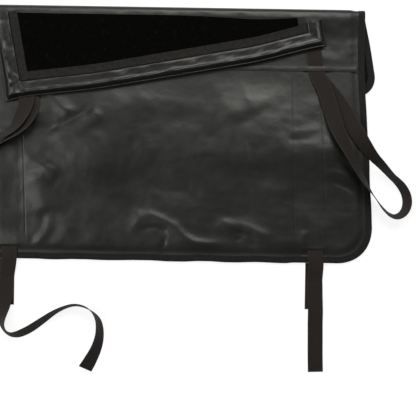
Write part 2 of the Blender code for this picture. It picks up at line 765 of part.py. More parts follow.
def box(name, centre, size):
    """Plain box object for cutting."""
    bm = bmesh.new()
    bmesh.ops.create_cube(bm, size=1)
    bmesh.ops.scale(bm, vec=size, verts=bm.verts)
    bmesh.ops.translate(bm, vec=centre, verts=bm.verts)
    mesh = bpy.data.meshes.new(name)
    bm.to_mesh(mesh)
    bm.free()
    obj = bpy.data.objects.new(name, mesh)
    bpy.context.scene.collection.objects.link(obj)
    return obj


def ladder_buckle(side, sign):
    """Moulded ladder-lock frame: a thin end bar for the tab, two slots, a grip bar and a lip."""
    x = sign * CHANNEL_MIDDLE
    middle = buckle_middle()
    near = buckle_bar() + 0.5 * BAR_THICK
    length = BAR_THICK + 2 * BUCKLE_SLOT_RUN + BUCKLE_GRIP + BUCKLE_LIP
    bm = bmesh.new()
    bmesh.ops.create_cube(bm, size=1)
    bmesh.ops.scale(bm, vec=(BUCKLE_WIDTH, length, BUCKLE_THICK), verts=bm.verts)
    upright = [e for e in bm.edges if abs(e.verts[0].co.z - e.verts[1].co.z) > 0.5 * BUCKLE_THICK
               and e.verts[0].co.y < 0]
    bmesh.ops.bevel(bm, geom=upright, offset=BUCKLE_CORNER, segments=3, affect="EDGES", profile=0.5)
    bmesh.ops.translate(bm, vec=(x, near - 0.5 * length, middle), verts=bm.verts)
    plate = finish(side + "_buckle", bm, BUCKLE_BLACK, 30)
    first = near - BAR_THICK - 0.5 * BUCKLE_SLOT_RUN
    second = first - BUCKLE_SLOT_RUN - BUCKLE_GRIP
    slot = (BUCKLE_SLOT_WIDTH, BUCKLE_SLOT_RUN, 4 * BUCKLE_THICK)
    cut(plate, box(side + "_first_slot_cutter", (x, first, middle), slot))
    cut(plate, box(side + "_second_slot_cutter", (x, second, middle), slot))
    past = 0.5 * (BAR_THICK + BUCKLE_THICK)
    relief = (BUCKLE_SLOT_WIDTH, 2 * BUCKLE_SLOT_RUN, BUCKLE_THICK)
    cut(plate, box(side + "_upper_bar_cutter", (x, near, middle + past), relief))
    cut(plate, box(side + "_lower_bar_cutter", (x, near, middle - past), relief))


def cut(target, cutter):
    """Takes the cutter's shape out of the target."""
    cutter.hide_render = True
    cutter.display_type = "WIRE"
    modifier = target.modifiers.new("cut", "BOOLEAN")
    modifier.operation = "DIFFERENCE"
    modifier.solver = "EXACT"
    modifier.object = cutter


# Flap

def flap_axes():
    """Directions along and across the flap."""
    along = Vector((math.cos(FLAP_TURN), math.sin(FLAP_TURN)))
    across = Vector((-math.sin(FLAP_TURN), math.cos(FLAP_TURN)))
    return along, across


def flap_base(y):
    """Height of the flap's underside, which rises in one plane from the front drop to the fold."""
    rise = (FOLD_GAP - FLAT_GAP) * (y - FLAP_CORNER[1]) / (FLAP_TOP - FLAP_CORNER[1])
    return FRONT_LIFT + PANEL_THICK + FLAP_STAND + rise


def flap_point(p, q, level):
    """A point of the flap: along its free edge, back from it, and above its underside."""
    along, across = flap_axes()
    at = Vector(FLAP_CORNER) + along * p + across * q
    return Vector((at.x, at.y, flap_base(at.y) + level))


def flap_depth(p):
    """How far the flap reaches back from its free edge before the ridge."""
    along, across = flap_axes()
    return (FLAP_TOP - FLAP_CORNER[1] - along.y * p) / across.y


def flap_sides(inset):
    """Stations (p, q) round the flap's three free sides at an inset, mitred at both corners."""
    far_left = flap_depth(0) - FLAP_TRIM
    far_right = flap_depth(FLAP_LENGTH) - FLAP_TRIM
    left = [(inset, q) for q in spaced(far_left, inset, far_left)]
    low = [(p, inset) for p in spaced(inset, FLAP_LENGTH - inset, FLAP_LENGTH)]
    right = [(FLAP_LENGTH - inset, q) for q in spaced(inset, far_right, far_right)]
    return left[:-1] + low + right[1:]


def flap_corners():
    """Numbers of the stations at the flap's two mitred corners."""
    left = stations_on(flap_depth(0) - FLAP_TRIM)
    return left, left + stations_on(FLAP_LENGTH)


def stations_on(length):
    """How many steps a side of the flap takes."""
    return len(spread(0, length, FLAP_STATION)) - 1


def spaced(start, end, full):
    """Evenly spaced values from start to end, as many as the full length takes."""
    count = stations_on(full)
    return [start + (end - start) * i / count for i in range(count + 1)]


def flap_strip(name, section, cloth, swell=None, every=1):
    """A strip that runs round the flap's three free sides."""
    top = max(level for _, level in section)
    lines = [flap_sides(inset) for inset, _ in section]
    last = len(lines[0]) - 1
    corners = flap_corners()
    rings = []
    for k in range(last + 1):
        if k % every and k != last and k not in corners:
            continue
        bulge = swell(k) if swell else 0.0
        rings.append([
            flap_point(*line[k], level + bulge * level / top)
            for line, (_, level) in zip(lines, section)
        ])
    finish(name, swept(rings), cloth, 50)


def flap_plate(name, inset, low, high, cloth):
    """A flat layer of the flap, inset from its free sides."""
    steps = spread(inset, FLAP_LENGTH - inset, FLAP_PLATE_STEP)
    points = []
    faces = []
    rows = FLAP_PLATE_ROWS
    for p in steps:
        far = flap_depth(p) - FLAP_PLATE_TRIM
        points += [(p, inset + (far - inset) * r / (rows - 1)) for r in range(rows)]
    for i in range(len(steps) - 1):
        for r in range(rows - 1):
            a = i * rows + r
            faces.append([a, a + rows, a + rows + 1, a + 1])
    lower = [flap_point(p, q, low) for p, q in points]
    upper = [flap_point(p, q, high) for p, q in points]
    finish(name, closed_sheet(lower, upper, faces), cloth, 40)


def pucker(k):
    """How far the puffy border swells at a station."""
    return FLAP_PUCKER * (0.6 * math.sin(2.1 * k) + 0.4 * math.sin(3.7 * k + 1))


def flap():
    """Shell, piping, puffy border, tape, foam and brushed lining of the folded flap."""
    piping = [
        (FLAP_PIPING * (1 - math.cos(math.radians(a))), FLAP_PIPING * (1 + math.sin(math.radians(a))))
        for a in range(0, 360, 60)
    ]
    flap_strip("flap_piping", piping, BORDER_CLOTH)
    start = 2 * FLAP_PIPING + GAP
    flap_plate("flap_shell", start, 0, FLAP_SHELL, TARPAULIN)
    floor = FLAP_SHELL + GAP
    border = [(start + a * FLAP_BORDER, floor + h * FLAP_CROWN) for a, h in BORDER_SECTION]
    flap_strip("flap_border", border, BORDER_CLOTH, pucker)
    inner = start + FLAP_BORDER + GAP
    foam_top = floor + FLAP_FOAM
    tape_low = foam_top + GAP
    tape = [
        (inner, tape_low), (inner + FLAP_TAPE, tape_low),
        (inner + FLAP_TAPE, tape_low + FLAP_TAPE_THICK), (inner, tape_low + FLAP_TAPE_THICK),
    ]
    flap_strip("flap_tape", tape, WORN_TAPE, None, TAPE_STATIONS)
    flap_plate("flap_foam", inner, floor, foam_top, FOAM_GREY)
    lining_edge = inner + FLAP_TAPE + GAP
    flap_plate("flap_lining", lining_edge, tape_low, tape_low + FLAP_LINING, BRUSHED_BLACK)


def flap_seam_strip():
    """Folded allowance between the flap's sewn edge and the ridge."""
    left = flap_point(0, flap_depth(0), 0).x + FLAP_SEAM_LEFT
    right = flap_point(FLAP_LENGTH, 0, 0).x - FLAP_SEAM_RIGHT
    low_y = LOOP_ANCHOR + GAP
    high_y = low_y + FLAP_SEAM
    foot = max(back_point(0, y, PANEL_THICK).z for y in (low_y, high_y)) + GAP
    rings = []
    for x in (left, right):
        rings.append([
            (x, low_y, foot), (x, high_y, foot),
            (x, high_y, flap_base(high_y) - GAP), (x, low_y, flap_base(low_y) - GAP),
        ])
    finish("flap_seam_strip", swept(rings), TARPAULIN)


def main():
    for obj in list(bpy.data.objects):
        bpy.data.objects.remove(obj, do_unlink=True)
    front_drop()
    inner_drop()
    keeper_band()
    for side, sign in (("left", -1), ("right", 1)):
        strap_sleeve(side, sign)
        under_tab(side, sign)
        buckle_tab(side, sign)
        ladder_buckle(side, sign)
    slack_loop("left", LEFT_LOOP)
    slack_loop("right", RIGHT_LOOP)
    tail_strap("left", -1, LEFT_TAIL)
    tail_strap("right", 1, RIGHT_TAIL)
    flap()
    flap_seam_strip()


main()
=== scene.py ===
"""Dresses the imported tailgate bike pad: coated cloth with its wrinkles, puffy flap border, webbing,
edge tapes and stitching, on a plain pale floor, seen from straight above."""
import math

import bmesh
import bpy
import numpy as np
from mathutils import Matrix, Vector


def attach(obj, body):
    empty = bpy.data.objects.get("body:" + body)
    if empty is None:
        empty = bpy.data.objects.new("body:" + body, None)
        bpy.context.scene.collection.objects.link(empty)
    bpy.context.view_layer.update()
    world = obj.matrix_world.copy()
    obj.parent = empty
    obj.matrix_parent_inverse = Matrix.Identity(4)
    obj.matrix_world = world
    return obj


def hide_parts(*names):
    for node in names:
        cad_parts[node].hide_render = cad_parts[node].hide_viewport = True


bl_info = {
    "name": "Tailgate pad dresser",
    "version": (1, 0, 0),
    "blender": (4, 5, 0),
    "location": "View3D > Sidebar > Pad",
    "description": "Dresses a folded tailgate bike pad with cloth, webbing, tape and stitching",
    "category": "Object",
}

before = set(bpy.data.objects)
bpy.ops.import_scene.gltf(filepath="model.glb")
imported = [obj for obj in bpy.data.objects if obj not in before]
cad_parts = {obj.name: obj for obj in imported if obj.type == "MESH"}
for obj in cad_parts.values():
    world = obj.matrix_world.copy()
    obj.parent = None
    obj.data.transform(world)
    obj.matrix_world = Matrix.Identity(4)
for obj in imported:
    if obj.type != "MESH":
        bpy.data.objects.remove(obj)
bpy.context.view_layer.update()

MM = 0.001
GAP = 0.3 * MM

# Levels of the padded sheet above its inner side
PANEL_THICK = 7.6 * MM
FACE_THICK = 0.9 * MM
EDGE_TOP = 5.4 * MM
EDGE_BAND = 30 * MM
EDGE_INSET = 14 * MM
BINDING_THICK = 0.8 * MM
BINDING_WIDTH = 12 * MM
BINDING_TOP = 6.5 * MM

# Front drop
HALF_WIDTH = 409 * MM
FRONT_DROP = 380 * MM
FRONT_CORNER = 75 * MM
DROP_LEAN = 0.034
DROP_FLARE = 0.040
FLARE_RUN = 60 * MM
REST_START = 155 * MM
REST_RUN = 110 * MM
FRONT_LIFT = 8.0 * MM

# Ridge and inner drop
RIDGE_RUN = 111 * MM
FOLD_GAP = 6 * MM
FLAT_GAP = 0.4 * MM
FOLD_RISE_RUN = 50 * MM
BEND_CLOTH = 24 * MM
INNER_DROP = 159 * MM
INNER_CORNER = 45 * MM
INNER_FLARE = 0.20
INNER_LENGTH = RIDGE_RUN + BEND_CLOTH + INNER_DROP

# Webbing and its channels
WEB_WIDTH = 30 * MM
WEB_THICK = 1.5 * MM
CHANNEL_MIDDLE = 293.5 * MM
CHANNEL_HALF = 26.5 * MM
WEB_IN_CHANNEL = 5.65 * MM
LOW_WEB = PANEL_THICK + GAP + 0.5 * WEB_THICK
HIGH_WEB = LOW_WEB + WEB_THICK + GAP
LOOP_PLACE = {"left": -268 * MM, "right": 316 * MM}
LOOP_SLANT = {"left": 0, "right": -0.14}
LOOP_RUNS = (88 * MM, 81 * MM, 71 * MM, 61 * MM, 45 * MM)
LOOP_OVER_RUN = 26 * MM
LOOP_RETURN_END = 18 * MM
WEB_STEP = 13 * MM
EDGE_MARGIN = 3 * MM
FLOOR_CLEAR = 0.1 * MM
UNDER_TAB_LENGTH = 92 * MM
UNDER_TAB_SHIFT = 5.4 * MM
TAIL_DRIFT = {"left": 0, "right": 7 * MM}

# Keeper band over the ridge seam, from its lower to its upper edge
BAND_LOW = -2 * MM
BAND_HIGH = 8 * MM
BAND_THICK = 0.7 * MM
BAND_REACH = HALF_WIDTH - EDGE_INSET
BAND_SEAMS = (-0.6 * MM, 6.6 * MM)

# Flap
FLAP_CORNER = (-293 * MM, -68 * MM)
FLAP_TURN = math.radians(10.4)
FLAP_TOP = 106 * MM
FLAP_STAND = 4.9 * MM
FLAP_PIPING = 1.6 * MM
FLAP_BORDER = 29 * MM
FLAP_CROWN = 8.0 * MM
FLAP_TAPE = 16 * MM
FLAP_TAPE_THICK = 1.2 * MM
FLAP_SHELL = 0.9 * MM
FLAP_FOAM = 2.6 * MM
FLAP_TRIM = 8 * MM
FLAP_END_DEPTH = 59.8 * MM
FLAP_SAG = 9 * MM
FLAP_EAR = 3.5 * MM
FLAP_HEIGHT = FLAP_TOP - FLAP_CORNER[1]
FLAP_LENGTH = (FLAP_HEIGHT - FLAP_END_DEPTH * math.cos(FLAP_TURN)) / math.sin(FLAP_TURN)
FLAP_FLOOR = FLAP_SHELL + GAP
TAPE_LOW = FLAP_FLOOR + FLAP_FOAM + GAP
TAPE_START = 2 * FLAP_PIPING + GAP + FLAP_BORDER + GAP
TAPE_END = TAPE_START + FLAP_TAPE

# Stitches: the size sockets and the settings that fill them
STITCH_SIZES = {"Pitch": "stitch_pitch", "Length": "stitch_length", "Thread": "thread"}

# Stage
FLOOR_REACH = 4.0
FLOOR_LEVEL = -0.3 * MM
FLOOR_GLOW = 1.28
GLOW_SHARE = 0.66
KEY_LAMP = {"size": (2.4, 1.1), "spot": (0.45, 1.45, 2.1), "aim": (0.1, -0.2, 0)}
FILL_LAMP = {"size": (1.4, 1.6), "spot": (-1.7, -0.4, 1.9), "aim": (0.0, -0.3, 0)}
SENSOR = 36
VIEW_MIDDLE = (0.106, -0.275)
VIEW_LEVEL = 0.012
VIEW_TURN = math.radians(0.9)

# Wrinkles of the front face: points (across, down), rise and width to each side in mm, crispness
WRINKLES = [
    # folds over the hem, the first S-shaped, each with its creases
    ([(-49, 342), (-51, 315), (-38, 297), (-18, 292), (7, 299), (29, 311), (48, 331),
     (68, 345), (92, 348), (143, 346)], 3.0, 10, 15, 1.7),
    ([(-35, 326), (-25, 314), (-9, 311), (5, 320), (13, 333)], -1.2, 4, 4, 2),
    ([(9, 338), (10, 351), (2, 363)], -2.5, 4, 4, 1.5),
    ([(114, 322), (124, 309), (142, 306), (162, 305), (179, 313), (203, 325),
     (233, 331)], 2.8, 9, 15, 1.7),
    ([(152, 313), (161, 329), (151, 343)], -2.6, 4, 5, 1.5),
    ([(179, 343), (191, 352), (196, 364)], -2.5, 5, 5, 1.5),
    # folds at the slots and the left hem
    ([(283, 311), (284, 353)], 1.5, 8, 8, 1.8),
    ([(-220, 290), (-236, 316), (-261, 356)], -1.4, 7, 8, 1.8),
    ([(-208, 291), (-227, 321), (-245, 357)], 1.5, 10, 12, 1.8),
    ([(-177, 307), (-199, 343), (-216, 367)], 1.4, 11, 11, 1.8),
    # folds from the flap and the left loop
    ([(-269, 174), (-240, 195), (-195, 218)], 2.6, 13, 18, 1.8),
    ([(-123, 55), (-141, 85), (-177, 109), (-223, 123), (-281, 142)], -2.6, 9, 8, 1.6),
    ([(-109, 72), (-128, 102), (-164, 126), (-214, 143)], 1.6, 15, 20, 2),
    ([(-212, 58), (-193, 79), (-169, 91)], 1.9, 12, 12, 1.8),
    ([(-345, 118), (-310, 128), (-275, 134), (-246, 128)], 3.4, 30, 9, 1.7),
    ([(-238, 82), (-237, 118)], 1.6, 8, 8, 1.8),
    # middle of the face
    ([(-118, 96), (-94, 129), (-81, 163), (-86, 218)], -1.7, 26, 18, 2),
    ([(-35, 107), (-26, 152), (-17, 201)], 0.9, 18, 20, 2),
    # pale slope at the right
    ([(110, -10), (114, 11), (129, 51), (157, 112)], 3.6, 90, 30, 2),
    ([(128, 166), (176, 160), (226, 158), (262, 159), (330, 164), (380, 168)], 6.5, 74, 30, 1.9),
    # broad swells and hollows
    ([(-130, 84), (-40, 88), (50, 92), (110, 92)], 2.6, 60, 120, 2),
    ([(-150, 60), (-128, 110), (-122, 160), (-135, 230)], 3.4, 50, 60, 2),
    ([(40, 60), (36, 140), (40, 215), (20, 270)], -3.6, 50, 70, 2),
    ([(-250, 205), (-236, 250), (-228, 300)], 4.0, 30, 34, 1.8),
    ([(-330, 190), (-322, 250), (-318, 330)], 3.4, 26, 26, 1.8),
    ([(230, 215), (232, 270), (240, 330)], 2.6, 30, 40, 1.8),
    # small folds by the right channel and edge
    ([(250, 126), (286, 119), (321, 115)], 0.8, 7, 7, 1.8),
    ([(252, 138), (280, 135), (306, 134)], -0.9, 5, 5, 1.7),
    ([(338, 172), (365, 181), (395, 209)], -2.4, 6, 5, 1.5),
    ([(317, 198), (359, 207), (396, 228)], 2.0, 8, 9, 1.7),
    ([(331, 218), (364, 229), (397, 242)], -1.8, 5, 5, 1.6),
    ([(165, 12), (180, 56), (192, 71)], 1.6, 6, 8, 1.7),
]

# Routes of the free webbing from where it leaves: x, y, tilt about its length, and lift,
# in mm and degrees
RIGHT_LOOP = [
    (4, -14, 0, 2.2), (13, -30, 0, 2.4), (22, -54, 0, 2.6), (30, -80, 0, 2.6), (38, -106, -8, 2.2),
    (48, -130, -26, 1), (68, -168, -46, 0.2), (93, -212, -62, 0), (115, -244, -80, 0),
    (128, -262, -78, 0), (142, -277, -75, 0), (156, -286, -73, 0), (169, -285, -71, 0),
    (180, -274, -67, 0), (184, -257, -64, 0), (180, -239, -65, 0), (169, -222, -68, 0),
    (154, -208, -73, 0), (138, -193, -69, 0), (113, -168, -56, 0), (90, -136, -36, 0),
    (73, -108, -12, 0), (60, -86, 0, 0), (44, -62, 0, 0), (28, -42, 0, 0), (14, -26, 0, 0),
    (4, -14, 0, 0),
]
LEFT_LOOP = [
    (2, -14, 0, 2.2), (8, -35, 0, 2.3), (13.5, -61, 0, 2.2), (8, -90, 18, 2.6), (-6, -119, 45, 1.8),
    (-24, -136, 64, 0.6), (-44, -145, 76, 0), (-79, -152, 78, 0), (-119, -160, 78, 0),
    (-150, -176, 78, 0), (-162, -200, 82, 0), (-149, -223, 90, 0), (-118, -219, 96, 0),
    (-82, -191, 100, 0), (-57, -169, 102, 0), (-35, -154, 104, 0), (-12, -139, 114, 0),
    (8, -120, 137, 0), (19, -97, 166, 0), (23, -77, 180, 0), (21, -58, 180, 0), (12, -31, 180, 0),
    (3, -14, 180, 0),
]
LEFT_TAIL = [
    (-4.7, -34, 0, 1.8), (-5.7, -63, 4, 1.8), (-8.7, -88, 14, 1.8), (-11.7, -110, 36, 0.6),
    (-11.2, -130, 60, 0), (-4.2, -145, 69, 0), (9.3, -152, 66, 0), (25.3, -149, 60, 0),
    (45.3, -139, 60, 0), (68.3, -123, 65, 0), (92.3, -106, 73, 0), (115.3, -95, 77, 0),
    (135.3, -91, 77, 0), (155.3, -96, 78, 0), (170.3, -107, 88, 0), (180.3, -124, 105, 0),
    (182.3, -150, 118, 0), (175.3, -178, 132, 0), (160.3, -208, 148, 0), (154.3, -218, 152, 0),
]
RIGHT_TAIL = [
    (7.9, -34, 0, 1.8), (8.9, -70, 0, 1.8), (9.9, -98, 0, 1.8), (9.9, -120, 0, 0.4),
    (10.4, -150, 0, 0), (10.9, -185, 0, 0), (11.9, -218, 0, 0),
]


# Settings

def distance(name, description, default, low, high):
    """A length among the settings."""
    return bpy.props.FloatProperty(
        name=name, description=description, subtype="DISTANCE", unit="LENGTH",
        default=default, min=low, max=high)


def colour(name, description, default):
    """A colour among the settings."""
    return bpy.props.FloatVectorProperty(
        name=name, description=description, subtype="COLOR", size=3, min=0, max=1, default=default)


def number(name, description, default, high, unit="NONE"):
    """A number from 0 up among the settings."""
    return bpy.props.FloatProperty(
        name=name, description=description, default=default, min=0, max=high, unit=unit)


class PadSettings(bpy.types.PropertyGroup):
    """Sizes and colours of the pad's dressing."""

    face_colour: colour("Face colour", "Coated cloth of the face", (0.0155, 0.0162, 0.0140))
    web_colour: colour("Webbing colour", "Ribbed webbing", (0.0250, 0.0200, 0.0164))
    border_colour: colour("Border colour", "Puffy border of the flap", (0.0115, 0.0115, 0.0102))
    wrinkle_share: number("Wrinkles", "Share of the drawn wrinkles' height", 1.2, 2)
    face_step: distance("Face net", "Distance between the points of the face's net",
                        3.6 * MM, 2 * MM, 20 * MM)
    stitch_pitch: distance("Stitch pitch", "Distance from stitch to stitch", 3.4 * MM, MM, 10 * MM)
    stitch_length: distance("Stitch length", "Length of one stitch", 2.3 * MM, 0.5 * MM, 8 * MM)
    thread: distance("Thread", "Thickness of the sewing thread", 0.6 * MM, 0.1 * MM, 2 * MM)


class StageSettings(bpy.types.PropertyGroup):
    """Camera and lamps."""

    view_width: distance("View width", "Width that the camera takes in at the pad's face",
                         0.824, 0.1, 3)
    camera_height: distance("Camera height", "Height of the camera above the pad's face",
                            1.9, 0.5, 10)
    key_power: number("Key lamp", "Power of the large soft lamp", 48, 1000, "POWER")
    fill_power: number("Fill lamp", "Power of the lamp on the other side", 24, 1000, "POWER")
    room_light: number("Room light", "Strength of the light from all round", 0.08, 10)


class Step:
    """What the operators share: each builds its pieces in the scene."""

    def execute(self, context):
        self.build(context.scene)
        return {"FINISHED"}


# Shape of the lying sheet

def smooth(t):
    """Smooth step from 0 to 1."""
    t = np.clip(t, 0.0, 1.0)
    return t * t * (3 - 2 * t)


def ramp(x, start, run):
    """Smooth step from 0 to 1 that begins at start and takes run, both in mm."""
    return smooth((x - start * MM) / (run * MM))


def bell(x, width):
    """Smooth hump of height 1 round 0, with its width in mm."""
    return np.exp(-(x / (width * MM)) ** 2)


def front_base(v):
    """Height of the front drop's inner side above the floor."""
    return FRONT_LIFT * (1 - smooth((v - REST_START) / REST_RUN))


def lean(u):
    """Sideways shift of the hanging cloth for each metre down."""
    side = np.clip((np.abs(u) - (CHANNEL_MIDDLE - CHANNEL_HALF)) / FLARE_RUN, 0, 1)
    return DROP_LEAN + np.sign(u) * DROP_FLARE * side


def front_place(u, v, level):
    """Points of the front drop: across, down from the seam, and above the inner side."""
    u, v, level = np.broadcast_arrays(u, v, level)
    return np.stack([u + lean(u) * v, -v, front_base(v) + level], axis=-1)


def fold_gap(s):
    """Space between the two drops, which opens towards the ridge fold."""
    share = smooth((s - RIDGE_RUN + FOLD_RISE_RUN) / FOLD_RISE_RUN)
    return FLAT_GAP + (FOLD_GAP - FLAT_GAP) * share


def back_place(u, s, level):
    """Points of the ridge and inner drop, s along the cloth from the seam."""
    u, s, level = np.broadcast_arrays(u, s, level)
    along = s - RIDGE_RUN - BEND_CLOTH
    angle = np.pi * np.clip((s - RIDGE_RUN) / BEND_CLOTH, 0, 1)
    radius = 0.5 * FOLD_GAP + level
    centre = PANEL_THICK + 0.5 * FOLD_GAP
    top = np.stack([u, s, PANEL_THICK + fold_gap(s) + level], axis=-1)
    bend = [u, RIDGE_RUN + radius * np.sin(angle), centre + radius * np.cos(angle)]
    bend = np.stack(bend, axis=-1)
    spread = 1 + INNER_FLARE * along / HALF_WIDTH
    under = np.stack([u * spread, RIDGE_RUN - along, PANEL_THICK - level], axis=-1)
    s = s[..., None]
    return np.where(s <= RIDGE_RUN, top, np.where(s <= RIDGE_RUN + BEND_CLOTH, bend, under))


def padding(inset):
    """Level of a drop's outer side without wrinkles, thin at the bound edge."""
    share = smooth((inset - EDGE_INSET) / (EDGE_BAND - EDGE_INSET))
    return EDGE_TOP + (PANEL_THICK - EDGE_TOP) * share


def edge_inset(u, v, length, corner):
    """Distance in from the bound edge of a drop with rounded lower corners."""
    du = np.abs(u) - (HALF_WIDTH - corner)
    dv = v - (length - corner)
    round_corner = corner - np.hypot(np.maximum(du, 0), np.maximum(dv, 0))
    straight = np.minimum(HALF_WIDTH - np.abs(u), length - v)
    return np.where((du > 0) & (dv > 0), round_corner, straight)


def ripple(a, b, wavelength, seed):
    """Smooth random waves of about one wavelength in mm, from -1 to 1."""
    draw = np.random.default_rng(seed)
    total = 0.0
    count = 9
    for _ in range(count):
        turn, phase = draw.uniform(0, 2 * np.pi, 2)
        k = 2 * np.pi / (wavelength * MM * draw.uniform(0.7, 1.5))
        total = total + np.sin(k * (a * np.cos(turn) + b * np.sin(turn)) + phase)
    return total / math.sqrt(count)


def wrinkle(u, v, line, rise, left, right, crisp):
    """One drawn fold: a crest or crease along a line, with its own width on each side."""
    points = np.array(line) * MM
    lengths = np.hypot(*np.diff(points, axis=0).T)
    total = lengths.sum()
    best = np.full(np.shape(u), np.inf)
    side = np.zeros(np.shape(u))
    share = np.zeros(np.shape(u))
    run = 0.0
    for a, b, length in zip(points, points[1:], lengths):
        du, dv = (b - a) / length
        t = np.clip((u - a[0]) * du + (v - a[1]) * dv, 0, length)
        away = np.hypot(u - a[0] - t * du, v - a[1] - t * dv)
        near = away < best
        best = np.where(near, away, best)
        side = np.where(near, (v - a[1]) * du - (u - a[0]) * dv, side)
        share = np.where(near, (run + t) / total, share)
        run += length
    width = np.where(side > 0, right, left) * MM
    blunt = 0.35
    shape = np.exp(-(((best / width) ** 2 + blunt ** 2) ** (0.5 * crisp) - blunt ** crisp))
    taper = smooth(np.minimum(share, 1 - share) / 0.22) * 0.8 + 0.2
    return rise * MM * shape * taper


def face_relief(u, v, inset):
    """How far the loose front face stands off the foam."""
    wu = u + 2.2 * MM * ripple(u, v, 55, 11)
    wv = v + 2.2 * MM * ripple(u, v, 55, 12)
    height = np.zeros(np.shape(u))
    for line, rise, left, right, crisp in WRINKLES:
        height = height + wrinkle(wu, wv, line, rise, left, right, crisp)
    height = height + 1.1 * MM * (1 + ripple(u, v, 190, 3))
    height = height + 0.35 * MM * ripple(u, v, 62, 5) + 0.10 * MM * ripple(u, v, 24, 6)
    fade = ramp(v, 12, 74) * ramp(inset, 16, 24)
    return np.maximum(height, -0.5 * MM) * fade


def channel_seams():
    """Places across the front drop of the four seams beside the two straps."""
    return [side * (CHANNEL_MIDDLE + edge)
            for side in (-1, 1) for edge in (-CHANNEL_HALF, CHANNEL_HALF)]


def seam_groove(u):
    """Dent of the channel seams in the face, and the webbing that shows through between them."""
    beside = np.abs(np.abs(u) - CHANNEL_MIDDLE)
    dent = -0.45 * MM * bell(beside - CHANNEL_HALF, 1.1)
    swell = 0.06 * MM * bell(beside - CHANNEL_HALF, 8)
    web = 0.45 * MM * smooth((0.5 * WEB_WIDTH + 2 * MM - beside) / (3 * MM))
    return dent + swell + web


def slot_lip(u, v):
    """Raised lip of the cloth over the webbing's slot, and the dip below it."""
    beside = np.abs(np.abs(u) - CHANNEL_MIDDLE)
    beside = np.minimum(beside, np.abs(u - CHANNEL_MIDDLE - TAIL_DRIFT["right"]))
    inside = smooth((0.5 * WEB_WIDTH + 1.5 * MM - beside) / (2.5 * MM))
    edge = FRONT_DROP - EDGE_BAND + 5 * MM
    lip = 1.3 * MM * smooth((v - edge + 12 * MM) / (12 * MM)) * (v < edge)
    dip = -0.6 * MM * (v >= edge) * smooth((FRONT_DROP - EDGE_INSET + 4 * MM - v) / (6 * MM))
    return inside * (lip + dip)


def face_level(u, v):
    """Level of the front face's upper side above the inner side of the drop."""
    inset = edge_inset(u, v, FRONT_DROP, FRONT_CORNER)
    share = smooth((inset - EDGE_INSET) / (10 * MM))
    relief = face_relief(u, v, inset) * bpy.context.scene.pad_settings.wrinkle_share
    groove = -0.5 * MM * bell(inset - 16 * MM, 4)
    return padding(inset) + relief + groove + seam_groove(u) * share + slot_lip(u, v)


def cloth_under(x, y):
    """Across and down on the front drop below a point in plan."""
    u = x
    for _ in range(4):
        u = x + lean(u) * y
    return u, -y


# Building meshes

def link(obj):
    """Puts an object in the scene."""
    bpy.context.scene.collection.objects.link(obj)
    return obj


def mesh_piece(name, points, faces, material, uv=None, sharp=45):
    """A smooth-shaded mesh object from points and faces."""
    mesh = bpy.data.meshes.new(name)
    mesh.from_pydata([tuple(p) for p in points], [], faces)
    if uv is not None:
        layer = mesh.uv_layers.new(name="UVMap")
        order = np.empty(len(mesh.loops), dtype=np.int64)
        mesh.loops.foreach_get("vertex_index", order)
        layer.data.foreach_set("uv", np.asarray(uv, dtype=np.float32)[order].ravel())
    mesh.validate()
    mesh.shade_smooth()
    mesh.set_sharp_from_angle(angle=math.radians(sharp))
    mesh.materials.append(material)
    return link(bpy.data.objects.new(name, mesh))


def grid_faces(rows, columns):
    """Faces of a grid of points numbered row by row."""
    a = (np.arange(rows - 1)[:, None] * columns + np.arange(columns - 1)[None, :]).ravel()
    return np.stack([a, a + columns, a + columns + 1, a + 1], axis=-1)


def sheet_piece(name, upper, lower, material):
    """A closed sheet between two equal grids of points, the upper one shown."""
    rows, columns = upper.shape[:2]
    count = rows * columns
    top = grid_faces(rows, columns)
    low = top[:, ::-1] + count
    rim = np.concatenate([
        np.arange(columns), np.arange(1, rows) * columns + columns - 1,
        (rows - 1) * columns + np.arange(columns - 2, -1, -1), np.arange(rows - 2, 0, -1) * columns,
    ])
    after = np.roll(rim, -1)
    walls = np.stack([rim, after, after + count, rim + count], axis=-1)
    faces = np.concatenate([top, low, walls])
    points = np.concatenate([upper.reshape(-1, 3), lower.reshape(-1, 3)])
    return mesh_piece(name, points, faces.tolist(), material)


def swept_piece(name, rings, material, uv=None, sharp=45):
    """A closed solid through equal rings of points, with flat ends."""
    rings = np.asarray(rings)
    count, size = rings.shape[:2]
    i = np.arange(size) + (np.arange(count - 1) * size)[:, None]
    after = np.roll(i, -1, axis=1)
    faces = np.stack([i, after, after + size, i + size], axis=-1).reshape(-1, 4)
    ends = [list(range(size))[::-1], [(count - 1) * size + k for k in range(size)]]
    piece = mesh_piece(name, rings.reshape(-1, 3), faces.tolist() + ends, material, uv, sharp)
    return outward(piece)


def outward(piece):
    """Turns the faces of a closed piece outwards."""
    bm = bmesh.new()
    bm.from_mesh(piece.data)
    bmesh.ops.recalc_face_normals(bm, faces=bm.faces[:])
    bm.to_mesh(piece.data)
    bm.free()
    return piece


def place(piece, slot, *nodes):
    """Fixes a finished piece to the pad."""
    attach(piece, "root")
    if nodes:
        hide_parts(*nodes)
    return piece


# Materials

